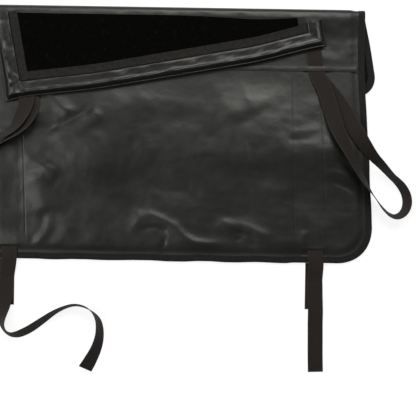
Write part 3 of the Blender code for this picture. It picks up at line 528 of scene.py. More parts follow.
class Net:
    """A node tree with short ways to add linked nodes to it."""

    def __init__(self, tree):
        self.tree = tree

    def put(self, value, socket):
        """Links a socket to an input, or writes a plain value into it."""
        if isinstance(value, bpy.types.NodeSocket):
            self.tree.links.new(value, socket)
        else:
            socket.default_value = value

    def add(self, kind, inputs=None, **settings):
        """A node with its settings, and its inputs by name or number."""
        node = self.tree.nodes.new(kind)
        for key, value in settings.items():
            setattr(node, key, value)
        for key, value in (inputs or {}).items():
            self.put(value, node.inputs[key])
        return node

    def math(self, operation, *values):
        """The result of a math node."""
        return self.add("ShaderNodeMath", dict(enumerate(values)), operation=operation).outputs[0]

    def noise(self, vector, scale, detail, roughness):
        """The value of a noise texture."""
        inputs = {"Vector": vector, "Scale": scale, "Detail": detail, "Roughness": roughness}
        return self.add("ShaderNodeTexNoise", inputs).outputs["Fac"]

    def share(self, value, low, high, to_low=0.0, to_high=1.0):
        """A value moved from one range to another and kept inside it."""
        inputs = dict(enumerate((value, low, high, to_low, to_high)))
        return self.add("ShaderNodeMapRange", inputs).outputs[0]


def coated_group(net, vector, crumple):
    """Coated cloth: fine base weave under the coating, soft crumple, and patches of haze."""
    soft = net.math("MULTIPLY", net.noise(vector, 42.0, 3.0, 0.45), crumple)
    drape = net.math("MULTIPLY_ADD", net.noise(vector, 11.0, 2.0, 0.5), 0.8, soft)
    weave = net.math("MULTIPLY", net.noise(vector, 900.0, 1.0, 0.5), 0.02)
    return {
        "Height": net.math("ADD", drape, weave),
        "Mask": net.share(net.noise(vector, 5.5, 4.0, 0.6), 0.35, 0.7),
        "Gloss": net.share(net.noise(vector, 17.0, 3.0, 0.55), 0.3, 0.7),
    }


def ribbed_group(net, vector, rib):
    """Ribbed webbing: cross ribs, a herringbone along it, and paler worn edges, from the UV map."""
    half = 0.5 * WEB_WIDTH
    along, across = net.add("ShaderNodeSeparateXYZ", {0: vector}).outputs[:2]
    slant = net.math("ABSOLUTE", net.math("SUBTRACT", across, half))
    turn = net.math("DIVIDE", net.math("ADD", along, net.math("MULTIPLY", slant, 0.35)), rib)
    ribs = net.math("SINE", net.math("MULTIPLY", turn, 2 * math.pi))
    yarn = net.math("SINE", net.math("MULTIPLY", across, 2 * math.pi / (2.4 * MM)))
    edge = net.share(slant, half - 2.2 * MM, half - 0.4 * MM)
    spots = net.share(net.noise(vector, 260.0, 3.0, 0.6), 0.35, 0.65, 0.2)
    return {
        "Height": net.math("MULTIPLY_ADD", yarn, 0.35, ribs),
        "Mask": net.math("MULTIPLY", edge, spots),
    }


def pile_group(net, vector, scale):
    """Brushed cloth: short matted pile with paler specks of lint."""
    clump = net.noise(vector, 60.0, 3.0, 0.6)
    return {
        "Height": net.math("MULTIPLY_ADD", clump, 1.5, net.noise(vector, scale, 4.0, 0.7)),
        "Mask": net.share(net.noise(vector, 95.0, 5.0, 0.75), 0.56, 0.74),
    }


def woven_group(net, vector, yarn):
    """Plain woven tape: crossing yarns with a soft fray."""
    turns = net.math("DIVIDE", 2 * math.pi, yarn)
    across, along = net.add("ShaderNodeSeparateXYZ", {0: vector}).outputs[:2]
    warp = net.math("SINE", net.math("MULTIPLY", across, turns))
    weft = net.math("SINE", net.math("MULTIPLY", along, turns))
    return {
        "Height": net.math("MULTIPLY", warp, weft),
        "Mask": net.share(net.noise(vector, 160.0, 5.0, 0.7), 0.4, 0.66),
    }


# Each cloth's group, the name of its size socket, and how its materials look unless told otherwise
CLOTHS = {
    "coated_cloth": (coated_group, "Crumple", {
        "source": "Object", "size": 1.0, "relief": 0.6, "depth": 1.6 * MM, "roughness": 0.43,
        "specular": 0.5, "gloss": (0.35, 0.46), "tint": (1.0, 1.0, 0.95, 1.0)}),
    "ribbed_webbing": (ribbed_group, "Rib", {
        "source": "UV", "size": 1.3 * MM, "relief": 0.55, "depth": 0.25 * MM, "roughness": 0.80,
        "specular": 0.18, "sheen": 0.08}),
    "brushed_pile": (pile_group, "Scale", {
        "source": "Object", "size": 420.0, "relief": 0.8, "depth": 0.8 * MM, "roughness": 0.95,
        "specular": 0.04}),
    "woven_tape": (woven_group, "Yarn", {
        "source": "UV", "size": 1.0 * MM, "relief": 0.6, "depth": 0.2 * MM, "roughness": 0.8,
        "specular": 0.3, "sheen": 0.15}),
}


def cloth_group(kind):
    """The shared node group of a cloth, made at its first use."""
    group = bpy.data.node_groups.get(kind)
    if group is None:
        build, label, look = CLOTHS[kind]
        group = bpy.data.node_groups.new(kind, "ShaderNodeTree")
        sockets = group.interface
        sockets.new_socket("Vector", in_out="INPUT", socket_type="NodeSocketVector")
        size = sockets.new_socket(label, in_out="INPUT", socket_type="NodeSocketFloat")
        size.default_value = look["size"]
        results = build(Net(group), *group.nodes.new("NodeGroupInput").outputs[:2])
        for name in results:
            sockets.new_socket(name, in_out="OUTPUT", socket_type="NodeSocketFloat")
        end = group.nodes.new("NodeGroupOutput")
        for name, socket in results.items():
            group.links.new(socket, end.inputs[name])
    return group


def surface(name, roughness, specular, sheen=0.0):
    """A new material and its shader."""
    material = bpy.data.materials.new(name)
    material.use_nodes = True
    shader = material.node_tree.nodes["Principled BSDF"]
    shader.inputs["Roughness"].default_value = roughness
    shader.inputs["Specular IOR Level"].default_value = specular
    shader.inputs["Sheen Weight"].default_value = sheen
    return material, shader


def cloth(name, kind, first, second, **changes):
    """The named cloth material, its two colours mixed by its group's mask."""
    if name in bpy.data.materials:
        return bpy.data.materials[name]
    look = {**CLOTHS[kind][2], **changes}
    material, shader = surface(name, look["roughness"], look["specular"], look.get("sheen", 0.0))
    net = Net(material.node_tree)
    where = net.add("ShaderNodeTexCoord").outputs[look["source"]]
    group = net.add("ShaderNodeGroup", node_tree=cloth_group(kind))
    net.put(where, group.inputs[0])
    net.put(look["size"], group.inputs[1])
    bump = net.add("ShaderNodeBump", {
        "Strength": look["relief"], "Distance": look["depth"], "Height": group.outputs["Height"]})
    net.put(bump.outputs["Normal"], shader.inputs["Normal"])
    mix = net.add("ShaderNodeMix", {0: group.outputs["Mask"], 6: (*first, 1), 7: (*second, 1)},
                  data_type="RGBA")
    net.put(mix.outputs[2], shader.inputs["Base Color"])
    if "gloss" in look:
        net.put(net.share(group.outputs["Gloss"], 0, 1, *look["gloss"]), shader.inputs["Roughness"])
        net.put(look["tint"], shader.inputs["Specular Tint"])
    return material


def plain(name, colour, roughness, specular):
    """A plain material, for thread, foam and moulded plastic."""
    material, shader = surface(name, roughness, specular)
    shader.inputs["Base Color"].default_value = (*colour, 1)
    return material


def scaled(colour, share):
    """A colour made darker or paler."""
    return tuple(c * share for c in colour)


def face_cloth():
    """The coated cloth of the face, ridge and band."""
    colour = bpy.context.scene.pad_settings.face_colour
    return cloth("coated_face", "coated_cloth", scaled(colour, 0.8), scaled(colour, 1.5))


def edge_tape():
    """The tape round the bound edges."""
    return cloth("edge_tape_cloth", "woven_tape",
                 (0.0062, 0.0062, 0.0058), (0.0130, 0.0126, 0.0119))


def strap_cloth():
    """The webbing of all straps."""
    colour = tuple(bpy.context.scene.pad_settings.web_colour)
    return cloth("strap_webbing", "ribbed_webbing", colour, scaled(colour, 2.3))


# Front face

def drop_net(length, corner, rows, columns):
    """Grid of (across, down) that fills a drop and follows its rounded lower corners."""
    v = rows[:, None]
    past = np.clip(v - (length - corner), 0, corner)
    half = HALF_WIDTH - corner + np.sqrt(np.maximum(corner ** 2 - past ** 2, 0))
    return columns[None, :] / HALF_WIDTH * half, v + 0 * columns[None, :]


def arc_rows(length, corner, step):
    """Rows down the rounded corner, closer towards its end."""
    turns = np.linspace(0, 0.5 * np.pi, max(4, int(0.5 * np.pi * corner / step)))[1:]
    return length - corner + corner * np.sin(turns)


def fine_columns(step):
    """Columns across the face, closer beside the channel seams."""
    columns = np.linspace(-HALF_WIDTH, HALF_WIDTH, int(2 * HALF_WIDTH / step))
    seams = np.array(channel_seams())
    near = np.abs(columns[:, None] - seams[None, :]).min(axis=1) < 3.4 * MM
    beside = np.array([0.5, 1.2, 2.0, 3.2]) * MM
    extra = (seams[:, None] + np.concatenate([-beside, beside])).ravel()
    return np.sort(np.concatenate([columns[~near], extra]))


def drop_cloth(name, node, where, level_of, length, corner, rows, columns):
    """The loose coated cloth of one drop, as a closed sheet."""
    u, v = drop_net(length, corner, rows, columns)
    level = level_of(u, v)
    piece = sheet_piece(name, where(u, v, level), where(u, v, level - FACE_THICK), face_cloth())
    place(piece, "face_tarpaulin", node)


class PAD_OT_front_face(Step, bpy.types.Operator):
    """Make the loose, wrinkled coated cloth of the front drop"""

    bl_idname = "pad.front_face"
    bl_label = "Front face"

    def build(self, scene):
        step = scene.pad_settings.face_step
        straight = FRONT_DROP - FRONT_CORNER
        rows = np.concatenate([
            np.linspace(0.5 * GAP, straight, int(straight / step)),
            arc_rows(FRONT_DROP, FRONT_CORNER, step)])
        drop_cloth("front_cloth", "front_face", front_place, face_level,
                   FRONT_DROP, FRONT_CORNER, rows, fine_columns(step))


# Ridge and inner drop

def ridge_level(u, s):
    """Level of the ridge and inner drop's outer side."""
    inset = edge_inset(u, s, INNER_LENGTH, INNER_CORNER)
    loose = ramp(inset, 16, 20) * ramp(s, 10, 20)
    loose = loose * smooth((RIDGE_RUN + 4 * MM - s) / (12 * MM))
    waves = 0.5 * MM * (1 + ripple(u, s, 70, 21)) + 0.18 * MM * ripple(u, s, 26, 22)
    by_fold = bell(s - RIDGE_RUN + 6 * MM, 16)
    pinch = 0.5 * MM * (1 + ripple(u, 0.15 * s, 30, 23)) * by_fold
    return padding(inset) + loose * (waves + pinch)


class PAD_OT_ridge_face(Step, bpy.types.Operator):
    """Make the coated cloth of the ridge and the inner drop"""

    bl_idname = "pad.ridge_face"
    bl_label = "Ridge and inner drop"

    def build(self, scene):
        bend_end = RIDGE_RUN + BEND_CLOTH
        rows = np.concatenate([
            np.linspace(0.5 * GAP, RIDGE_RUN - 4 * MM, 24),
            np.linspace(RIDGE_RUN, bend_end, 15),
            np.linspace(bend_end + 4 * MM, INNER_LENGTH - INNER_CORNER, 14),
            arc_rows(INNER_LENGTH, INNER_CORNER, 7 * MM)])
        drop_cloth("ridge_cloth", "ridge_face", back_place, ridge_level,
                   INNER_LENGTH, INNER_CORNER, rows, np.linspace(-HALF_WIDTH, HALF_WIDTH, 165))


# Edge tapes and band

def rim_path(length, corner, step):
    """Points (u, v, outward u, outward v) down the left edge, along the end and up the right."""
    half = HALF_WIDTH - corner
    left = [(-HALF_WIDTH, v, -1.0, 0.0) for v in np.arange(0.5 * GAP, length - corner, step)]
    for turn in np.linspace(0, 0.5 * np.pi, int(0.5 * np.pi * corner / step) + 1):
        out = (-math.cos(turn), math.sin(turn))
        left.append((-half + corner * out[0], length - corner + corner * out[1], *out))
    end = [(u, length, 0.0, 1.0) for u in np.linspace(-half, half, int(2 * half / step))[1:-1]]
    mirror = [(-u, v, -nu, nv) for u, v, nu, nv in reversed(left)]
    return np.array(left + end + mirror)


def run_lengths(points):
    """Distance along a line of points in plan, at each point."""
    return np.concatenate([[0], np.cumsum(np.hypot(*np.diff(points[:, :2], axis=0).T))])


def tape_rings(path, where, seed):
    """Rings and UV of the folded tape round an edge, softly puckered between its stitches."""
    along = run_lengths(path)
    out = GAP + BINDING_THICK
    top, width = BINDING_TOP, BINDING_WIDTH
    section = np.array([
        (width, 0.0), (0.5 * width, 0.0), (0.0, 0.0), (-0.7 * out, 0.25 * top), (-out, 0.5 * top),
        (-0.7 * out, 0.78 * top), (0.0, 0.97 * top), (0.35 * width, top + 0.25 * MM),
        (0.75 * width, top - 0.25 * MM), (0.92 * width, top), (width, top - 0.2 * MM),
        (width, top - BINDING_THICK - 0.2 * MM), (0.0, top - BINDING_THICK), (-GAP, 0.5 * top),
        (0.0, BINDING_THICK), (width, BINDING_THICK),
    ])
    puff = 0.16 * MM * ripple(along, 0, 11, seed) + 0.14 * MM * ripple(along, 0, 34, seed + 1)
    from_strap = np.abs(np.abs(path[:, 0]) - CHANNEL_MIDDLE)
    wave = 0.7 * MM * (1 + ripple(along, 0, 120, seed + 2)).clip(0, 2.2)
    wave = wave * ramp(from_strap, 26, 22)
    inset, level = section.T
    u, v, out_u, out_v = path.T[:, :, None]
    shown = np.clip(level / top, 0, 1) * (level > 0.5 * top)
    inset = inset - wave[:, None]
    rings = where(u - out_u * inset, v - out_v * inset, level + puff[:, None] * shown)
    uv = np.stack(np.broadcast_arrays(along[:, None], run_lengths(section)), -1)
    return rings, uv.reshape(-1, 2)


class PAD_OT_edge_tapes(Step, bpy.types.Operator):
    """Bind the edges of both drops with folded tape"""

    bl_idname = "pad.edge_tapes"
    bl_label = "Edge tapes"

    def build(self, scene):
        for name, node, length, corner, where, seed in (
                ("hem_tape", "front_binding", FRONT_DROP, FRONT_CORNER, front_place, 31),
                ("inner_hem_tape", "ridge_binding", INNER_LENGTH, INNER_CORNER, back_place, 41)):
            rings, uv = tape_rings(rim_path(length, corner, 4 * MM), where, seed)
            place(swept_piece(name, rings, edge_tape(), uv, 60), "binding_tape", node)


def band_run(x):
    """Wave in plan and height of the band's underside at x, arched over the two loops."""
    arch = np.zeros_like(x)
    for middle in LOOP_PLACE.values():
        beside = np.abs(x - middle)
        arch = np.maximum(arch, smooth((0.5 * WEB_WIDTH + 26 * MM - beside) / (24 * MM)))
    flat = FRONT_LIFT + PANEL_THICK + GAP
    return 0.25 * MM * ripple(x, 0, 45, 51), flat + arch * 2 * (WEB_THICK + GAP)


class PAD_OT_keeper_band(Step, bpy.types.Operator):
    """Sew the narrow keeper band over the ridge seam"""

    bl_idname = "pad.keeper_band"
    bl_label = "Keeper band"

    def build(self, scene):
        x = np.linspace(-BAND_REACH, BAND_REACH, 260)
        low, high, thick, dip = BAND_LOW, BAND_HIGH, BAND_THICK, 0.15 * MM
        section = [
            (low, 0), (high, 0), (high, 0.5 * thick), (high - 0.7 * MM, thick),
            (high - 1.4 * MM, thick - dip), (high - 2.2 * MM, thick), (low + 2.2 * MM, thick),
            (low + 1.4 * MM, thick - dip), (low + 0.7 * MM, thick), (low, 0.5 * thick),
        ]
        rings = [[(px, y + w, z + h) for y, h in section] for px, w, z in zip(x, *band_run(x))]
        place(swept_piece("keeper_strip", rings, face_cloth()), "face_tarpaulin", "keeper_band")


# Webbing

def surface_under(x, y):
    """Height of the lying pad under points in plan, 0 on the floor beside it."""
    u, v = cloth_under(x, y)
    beside = GAP + BINDING_THICK + EDGE_MARGIN
    on_pad = (v >= 0) & (edge_inset(u, v, FRONT_DROP, FRONT_CORNER) > -beside)
    return np.where(on_pad, front_base(v) + face_level(u, v), 0.0)


def curve_through(values, count):
    """Smooth curve through rows of numbers, count steps between neighbours."""
    rows = np.asarray(values, dtype=float)
    padded = np.concatenate([rows[:1], rows, rows[-1:]])
    t = (np.arange(count) / count)[:, None]
    parts = []
    for p, q, r, s in zip(padded, padded[1:], padded[2:], padded[3:]):
        parts.append(0.5 * (2 * q + (r - p) * t + (2 * p - 5 * q + 4 * r - s) * t ** 2
                            + (3 * q - p - 3 * r + s) * t ** 3))
    return np.concatenate(parts + [rows[-1:]])


def even_steps(points, step):
    """The curve's points again at even steps along its length in plan."""
    lengths = run_lengths(points)
    targets = np.linspace(0, lengths[-1], int(math.ceil(lengths[-1] / step - 1e-6)) + 1)
    return np.stack([np.interp(targets, lengths, column) for column in points.T], axis=-1)


def free_stations(route, start):
    """Points (x, y, z, tilt) along a free stretch that lies on the pad and on the floor."""
    knots = [(start[0] + x * MM, start[1] + y * MM, math.radians(tilt), lift * MM)
             for x, y, tilt, lift in route]
    path = even_steps(curve_through(knots, 6), WEB_STEP)
    x, y, tilt, lift = path.T
    run = np.gradient(path[:, :2], axis=0).T
    dx, dy = run / np.hypot(*run)
    flat, upright = np.abs(np.cos(tilt)), np.abs(np.sin(tilt))
    beside = np.array([-1, -0.5, 0, 0.5, 1])[:, None] * (0.5 * WEB_WIDTH * flat + WEB_THICK)
    under = surface_under(x - dy * beside, y + dx * beside).max(axis=0)
    low = under + GAP * (under > 0)
    wide = [low[max(0, i - 2):i + 3].max() for i in range(len(low))]
    soft = [np.mean(wide[max(0, i - 1):i + 2]) for i in range(len(low))]
    half = 0.5 * (WEB_WIDTH * upright + WEB_THICK * flat)
    z = np.maximum(low, soft) + lift + half + FLOOR_CLEAR
    return np.stack([x, y, z, tilt], axis=-1).tolist()


def ribbon(name, stations, node):
    """Webbing with soft edges swept through stations (x, y, z, tilt)."""
    path = curve_through(stations, 4)
    keep = np.concatenate([[True], np.linalg.norm(np.diff(path[:, :3], axis=0), axis=1) > 1e-5])
    path = path[keep]
    across, thick = 0.5 * WEB_WIDTH, 0.5 * WEB_THICK
    half = [(-1, -0.45), (-0.975, -0.95), (-0.9, -0.8), (-0.45, -0.92), (0, -1),
            (0.45, -0.92), (0.9, -0.8), (0.975, -0.95), (1, -0.45)]
    section = half + [(a, -b) for a, b in reversed(half)]
    at, tilt = path[:, :3], path[:, 3:]
    order = np.arange(len(at))
    run = at[(order + 1).clip(0, len(at) - 1)] - at[(order - 1).clip(0)]
    run /= np.linalg.norm(run, axis=1)[:, None]
    level = np.stack([-run[:, 1], run[:, 0], 0 * run[:, 0]], axis=-1)
    level /= np.linalg.norm(level, axis=1)[:, None]
    turned = (level[1:] * level[:-1]).sum(axis=1) < 0
    level[1:] *= np.cumprod(np.where(turned, -1, 1))[:, None]
    upward = np.cross(run, level)
    upward *= np.where(upward[:, 2:] < 0, -1, 1)
    side = level * np.cos(tilt) + upward * np.sin(tilt)
    normal = upward * np.cos(tilt) - level * np.sin(tilt)
    a, b = np.array(section).T[:, None, :, None]
    rings = at[:, None] + side[:, None] * a * across + normal[:, None] * b * thick
    length = np.concatenate([[0], np.cumsum(np.linalg.norm(np.diff(at, axis=0), axis=1))])
    uv = np.stack(np.broadcast_arrays(length[:, None], (a[0, :, 0] + 1) * across), axis=-1)
    place(swept_piece(name, rings, strap_cloth(), uv.reshape(-1, 2), 60), "webbing", node)


def on_ridge(place_x, slant, runs, web_level, tilt=0.0):
    """Stations of webbing that lies along the ridge, with its sideways run for each metre back."""
    return [(*back_place(place_x + slant * s, s, web_level), tilt) for s in runs]


def slack_loop(side, route):
    """Loop of webbing from the flap's seam, under the band, out over the pad and back."""
    x, slant = LOOP_PLACE[side], LOOP_SLANT[side]
    stations = on_ridge(x, slant, LOOP_RUNS, LOW_WEB)
    stations += on_ridge(x, slant, (LOOP_OVER_RUN, 0.0), HIGH_WEB)
    stations += free_stations(route, (x, 0.0))
    stations += on_ridge(x, slant, (0.0, LOOP_RETURN_END), LOW_WEB, math.radians(route[-1][2]))
    ribbon(side + "_loop_webbing", stations, side + "_slack_loop")


def tail_strap(side, sign, route):
    """Tie-down strap: down the channel, out of the slot, over the hem and along the floor."""
    u = sign * CHANNEL_MIDDLE
    drift = TAIL_DRIFT[side] / FRONT_DROP
    rows = np.linspace(12 * MM, FRONT_DROP - EDGE_BAND + 0.5 * MM, 18)
    stations = [(*front_place(u + drift * v, v, WEB_IN_CHANNEL), 0.0) for v in rows]
    over_hem = BINDING_TOP + GAP + 0.5 * WEB_THICK
    for v in (FRONT_DROP - EDGE_INSET - 1 * MM, FRONT_DROP + 4 * MM):
        stations.append((*front_place(u + drift * v, v, over_hem + 0.4 * MM), 0.0))
    stations += free_stations(route, front_place(u, FRONT_DROP, 0.0))
    ribbon(side + "_tail_webbing", stations, side + "_tail_strap")


def under_tab(side, sign):
    """Short second layer of webbing from the hem, under the tail strap."""
    u = sign * CHANNEL_MIDDLE + TAIL_DRIFT[side]
    start = front_place(u, FRONT_DROP + 2 * GAP + BINDING_THICK, 0.0)
    x = start[0] - UNDER_TAB_SHIFT
    height = 0.5 * WEB_THICK + FLOOR_CLEAR
    stations = [(x, start[1] - k * UNDER_TAB_LENGTH, height, 0.0) for k in np.linspace(0, 1, 8)]
    ribbon(side + "_tab_webbing", stations, side + "_under_tab")


class PAD_OT_webbing(Step, bpy.types.Operator):
    """Lay the slack loops, the tail straps and their short tabs"""

    bl_idname = "pad.webbing"
    bl_label = "Webbing"

    def build(self, scene):
        slack_loop("left", LEFT_LOOP)
        slack_loop("right", RIGHT_LOOP)
        tail_strap("left", -1, LEFT_TAIL)
        tail_strap("right", 1, RIGHT_TAIL)
        under_tab("left", -1)
        under_tab("right", 1)


# Flap

def flap_place(p, q, level):
    """Points of the flap: along its free edge, back from it, and above its underside."""
    p, q, level = np.broadcast_arrays(p, q, level)
    sag = ramp(p, 0, 210) * (1 - ramp(p, 480, 150))
    sag = sag * (1 - ramp(q, 60, 50))
    ear = FLAP_EAR * bell(np.abs(p) + np.abs(q), 20)
    p, q = p - ear, q - ear - FLAP_SAG * sag
    x = FLAP_CORNER[0] + math.cos(FLAP_TURN) * p - math.sin(FLAP_TURN) * q
    y = FLAP_CORNER[1] + math.sin(FLAP_TURN) * p + math.cos(FLAP_TURN) * q
    rise = (FOLD_GAP - FLAT_GAP) * (y - FLAP_CORNER[1]) / FLAP_HEIGHT
    return np.stack([x, y, FRONT_LIFT + PANEL_THICK + FLAP_STAND + rise + level], axis=-1)


def flap_depth(p):
    """How far the flap reaches back from its free edge before the ridge."""
    return (FLAP_HEIGHT - math.sin(FLAP_TURN) * p) / math.cos(FLAP_TURN)


def flap_line(inset, step):
    """Points (p, q) round the flap's three free sides at an inset."""
    left_top, right_top = flap_depth(0) - FLAP_TRIM, flap_depth(FLAP_LENGTH) - FLAP_TRIM
    end = FLAP_LENGTH - inset
    left, low, right = [max(2, int(round(run / step)))
                        for run in (left_top, FLAP_LENGTH, right_top)]
    return np.concatenate([
        [(inset, q) for q in np.linspace(left_top, inset, left, endpoint=False)],
        [(p, inset) for p in np.linspace(inset, end, low + 1)],
        [(end, q) for q in np.linspace(inset, right_top, right + 1)[1:]]])


def flap_rings(section, step, swell=None):
    """Rings of a strip round the flap, from (inset, level) pairs."""
    p, q = np.stack([flap_line(inset, step) for inset, _ in section], axis=1).transpose(2, 0, 1)
    levels = np.array([level for _, level in section]) + 0 * p
    if swell is not None:
        levels = levels + swell(p, q, levels)
    return flap_place(p, q, levels)


def border_section():
    """Soft outline of the stuffed border: flat by the tape, a crest, then a fall to the piping."""
    start = 2 * FLAP_PIPING + GAP
    places = [0.0, 0.04, 0.08, 0.12, 0.16, 0.21, 0.27, 0.34, 0.43, 0.60, 0.80, 0.92, 0.97, 1.0]
    heights = [0.22, 0.32, 0.56, 0.80, 0.94, 1.0, 0.97, 0.90, 0.84, 0.81, 0.80, 0.74, 0.58, 0.34]
    across = np.linspace(1, 0, 30)
    crown = zip(across, np.interp(across, places, heights))
    shape = [(0.03, 0.0), (0.97, 0.0), (1.0, 0.12), *crown, (0.0, 0.10)]
    return [(start + a * FLAP_BORDER, FLAP_FLOOR + h * FLAP_CROWN) for a, h in shape]


def border_swell(p, q, level):
    """Puckers across the border, pulled in at the mitred corners."""
    share = np.clip((level - FLAP_FLOOR) / FLAP_CROWN, 0, 1)
    inset = np.minimum(np.minimum(p, FLAP_LENGTH - p), q)
    inner = 2 * FLAP_PIPING + FLAP_BORDER
    reach = np.hypot(p - inner, q - inner)
    turn = np.arctan2(inner - q, inner - p)
    pucker = 0.6 * MM * ripple(0.55 * (p + q), 0.25 * q, 30, 61)
    pucker = pucker + 0.22 * MM * ripple(p - 0.8 * q, q, 17, 62)
    fan = 0.6 * MM * np.sin(7 * turn + 1.0) * bell(reach - 18 * MM, 14)
    line = inset - 10.5 * MM + 1.2 * MM * ripple(p, q, 46, 63)
    line = line + 0.5 * MM * ripple(p, q, 15, 64)
    ridge = 1.0 * MM * np.exp(-np.abs(line / (2.6 * MM)) ** 1.4)
    return share * (pucker + fan + ridge)


def worn_section():
    """Outline of the flap's tape, with raised middle and edges."""
    top = TAPE_LOW + FLAP_TAPE_THICK
    return [
        (TAPE_START, TAPE_LOW), (TAPE_END, TAPE_LOW), (TAPE_END, top - 0.2 * MM),
        (TAPE_END - 0.8 * MM, top + 0.1 * MM), (TAPE_END - 2.2 * MM, top - 0.25 * MM),
        (TAPE_START + 0.5 * FLAP_TAPE, top + 0.3 * MM), (TAPE_START + 2.2 * MM, top - 0.25 * MM),
        (TAPE_START + 0.8 * MM, top + 0.1 * MM), (TAPE_START, top - 0.2 * MM),
    ]


def lining_piece(name, inset, low, high, material):
    """The flap's lining, with a softly waved upper side."""
    p = np.linspace(inset, FLAP_LENGTH - inset, 90)[None, :]
    q = inset + (flap_depth(p) - 4 * MM - inset) * np.linspace(0, 1, 26)[:, None]
    p = p + 0 * q
    waves = 0.5 * MM * ripple(p, q, 50, 71) + 0.2 * MM * ripple(p, q, 17, 72)
    return sheet_piece(name, flap_place(p, q, high + waves), flap_place(p, q, low), material)


class PAD_OT_flap(Step, bpy.types.Operator):
    """Make the flap's stuffed border, piping, woven tape and brushed lining"""

    bl_idname = "pad.flap"
    bl_label = "Flap"

    def build(self, scene):
        colour = scene.pad_settings.border_colour
        glossy = cloth("border_tarpaulin", "coated_cloth", scaled(colour, 0.8), scaled(colour, 1.5),
                       size=0.8, gloss=(0.30, 0.40), relief=0.4)
        rings = flap_rings(border_section(), 3.5 * MM, border_swell)
        border = swept_piece("border_cloth", rings, glossy, None, 70)
        place(border, "flap_cloth", "flap_border")
        r = FLAP_PIPING
        turns = np.linspace(0, 2 * np.pi, 11)[:-1]
        rings = flap_rings([(r - r * math.cos(a), r + r * math.sin(a)) for a in turns], 6 * MM)
        place(swept_piece("edge_piping", rings, glossy, None, 70), "flap_cloth", "flap_piping")
        worn = cloth("worn_tape", "woven_tape", (0.0080, 0.0071, 0.0056), (0.024, 0.0205, 0.0155),
                     source="Object", size=1.1 * MM)
        rings = flap_rings(worn_section(), 6 * MM)
        place(swept_piece("worn_tape", rings, worn, None, 50), "flap_tape", "flap_tape")
        pile = cloth("brushed_lining", "brushed_pile",
                     (0.0020, 0.0020, 0.0017), (0.008, 0.008, 0.007))
        lining = lining_piece("brushed_lining", TAPE_END + GAP, TAPE_LOW, TAPE_LOW + 0.9 * MM, pile)
        place(lining, "lining_fleece", "flap_lining")


# Stitching

def stitch_tree():
    """Geometry nodes that set short stitches along a line of points."""
    tree = bpy.data.node_groups.new("running_stitch", "GeometryNodeTree")
    face = tree.interface
    face.new_socket("Line", in_out="INPUT", socket_type="NodeSocketGeometry")
    for label in STITCH_SIZES:
        face.new_socket(label, in_out="INPUT", socket_type="NodeSocketFloat").subtype = "DISTANCE"
    face.new_socket("Material", in_out="INPUT", socket_type="NodeSocketMaterial")
    face.new_socket("Stitches", in_out="OUTPUT", socket_type="NodeSocketGeometry")
    net = Net(tree)
    given = net.add("NodeGroupInput").outputs
    curve = net.add("GeometryNodeMeshToCurve", {"Mesh": given["Line"]})
    spots = net.add("GeometryNodeResampleCurve", {
        "Curve": curve.outputs["Curve"], "Length": given["Pitch"]}, mode="LENGTH")
    tangent = net.add("GeometryNodeInputTangent").outputs["Tangent"]
    turn = net.add("FunctionNodeAlignRotationToVector", {"Vector": tangent}, axis="X")
    ball = net.add("GeometryNodeMeshUVSphere", {"Segments": 6, "Rings": 4, "Radius": 0.5})
    size = net.add("ShaderNodeCombineXYZ", {
        "X": given["Length"], "Y": given["Thread"], "Z": given["Thread"]})
    stitch = net.add("GeometryNodeTransform", {
        "Geometry": ball.outputs["Mesh"], "Scale": size.outputs["Vector"]})
    row = net.add("GeometryNodeInstanceOnPoints", {
        "Points": spots.outputs["Curve"], "Instance": stitch.outputs["Geometry"],
        "Rotation": turn.outputs["Rotation"]})
    real = net.add("GeometryNodeRealizeInstances", {"Geometry": row.outputs["Instances"]})
    sewn = net.add("GeometryNodeSetMaterial", {
        "Geometry": real.outputs["Geometry"], "Material": given["Material"]})
    net.add("NodeGroupOutput", {"Stitches": sewn.outputs["Geometry"]})
    return tree


def sew(name, lines, thread, settings):
    """Stitches along several lines of points, as one plain mesh piece."""
    points, edges = [], []
    for line in lines:
        first = len(points)
        points += [tuple(p) for p in line]
        edges += [(i, i + 1) for i in range(first, len(points) - 1)]
    mesh = bpy.data.meshes.new(name + "_line")
    mesh.from_pydata(points, edges, [])
    source = link(bpy.data.objects.new(name + "_line", mesh))
    modifier = source.modifiers.new("stitches", "NODES")
    modifier.node_group = bpy.data.node_groups.get("running_stitch") or stitch_tree()
    values = {label: getattr(settings, field) for label, field in STITCH_SIZES.items()}
    values["Material"] = thread
    for item in modifier.node_group.interface.items_tree:
        if item.name in values:
            modifier[item.identifier] = values[item.name]
    graph = bpy.context.evaluated_depsgraph_get()
    result = bpy.data.meshes.new_from_object(source.evaluated_get(graph))
    bpy.data.objects.remove(source, do_unlink=True)
    result.name = name
    result.shade_smooth()
    return place(link(bpy.data.objects.new(name, result)), "binding_tape")


def channel_lines():
    """Stitch lines of the strap channels on the front face."""
    v = np.arange(12 * MM, FRONT_DROP - EDGE_INSET, 3 * MM)
    return [front_place(u, v, face_level(u + 0 * v, v) + 0.1 * MM) for u in channel_seams()]


def rim_line(length, corner, where):
    """Stitch line on an edge tape."""
    u, v, out_u, out_v = rim_path(length, corner, 3 * MM).T
    inset = 0.8 * BINDING_WIDTH
    return where(u - out_u * inset, v - out_v * inset, BINDING_TOP - 0.05 * MM)


def band_lines():
    """Stitch lines along both edges of the keeper band."""
    x = np.arange(-BAND_REACH, BAND_REACH, 3 * MM)
    wave, height = band_run(x)
    return [np.stack([x, y + wave, height + 0.55 * MM], -1) for y in BAND_SEAMS]


def worn_tape_lines():
    """Stitch lines along both edges of the flap's tape."""
    level = TAPE_LOW + FLAP_TAPE_THICK - 0.15 * MM
    lines = []
    for inset in (TAPE_START + 2.2 * MM, TAPE_END - 2.2 * MM):
        p, q = flap_line(inset, 4 * MM).T
        lines.append(flap_place(p, q, level))
    return lines


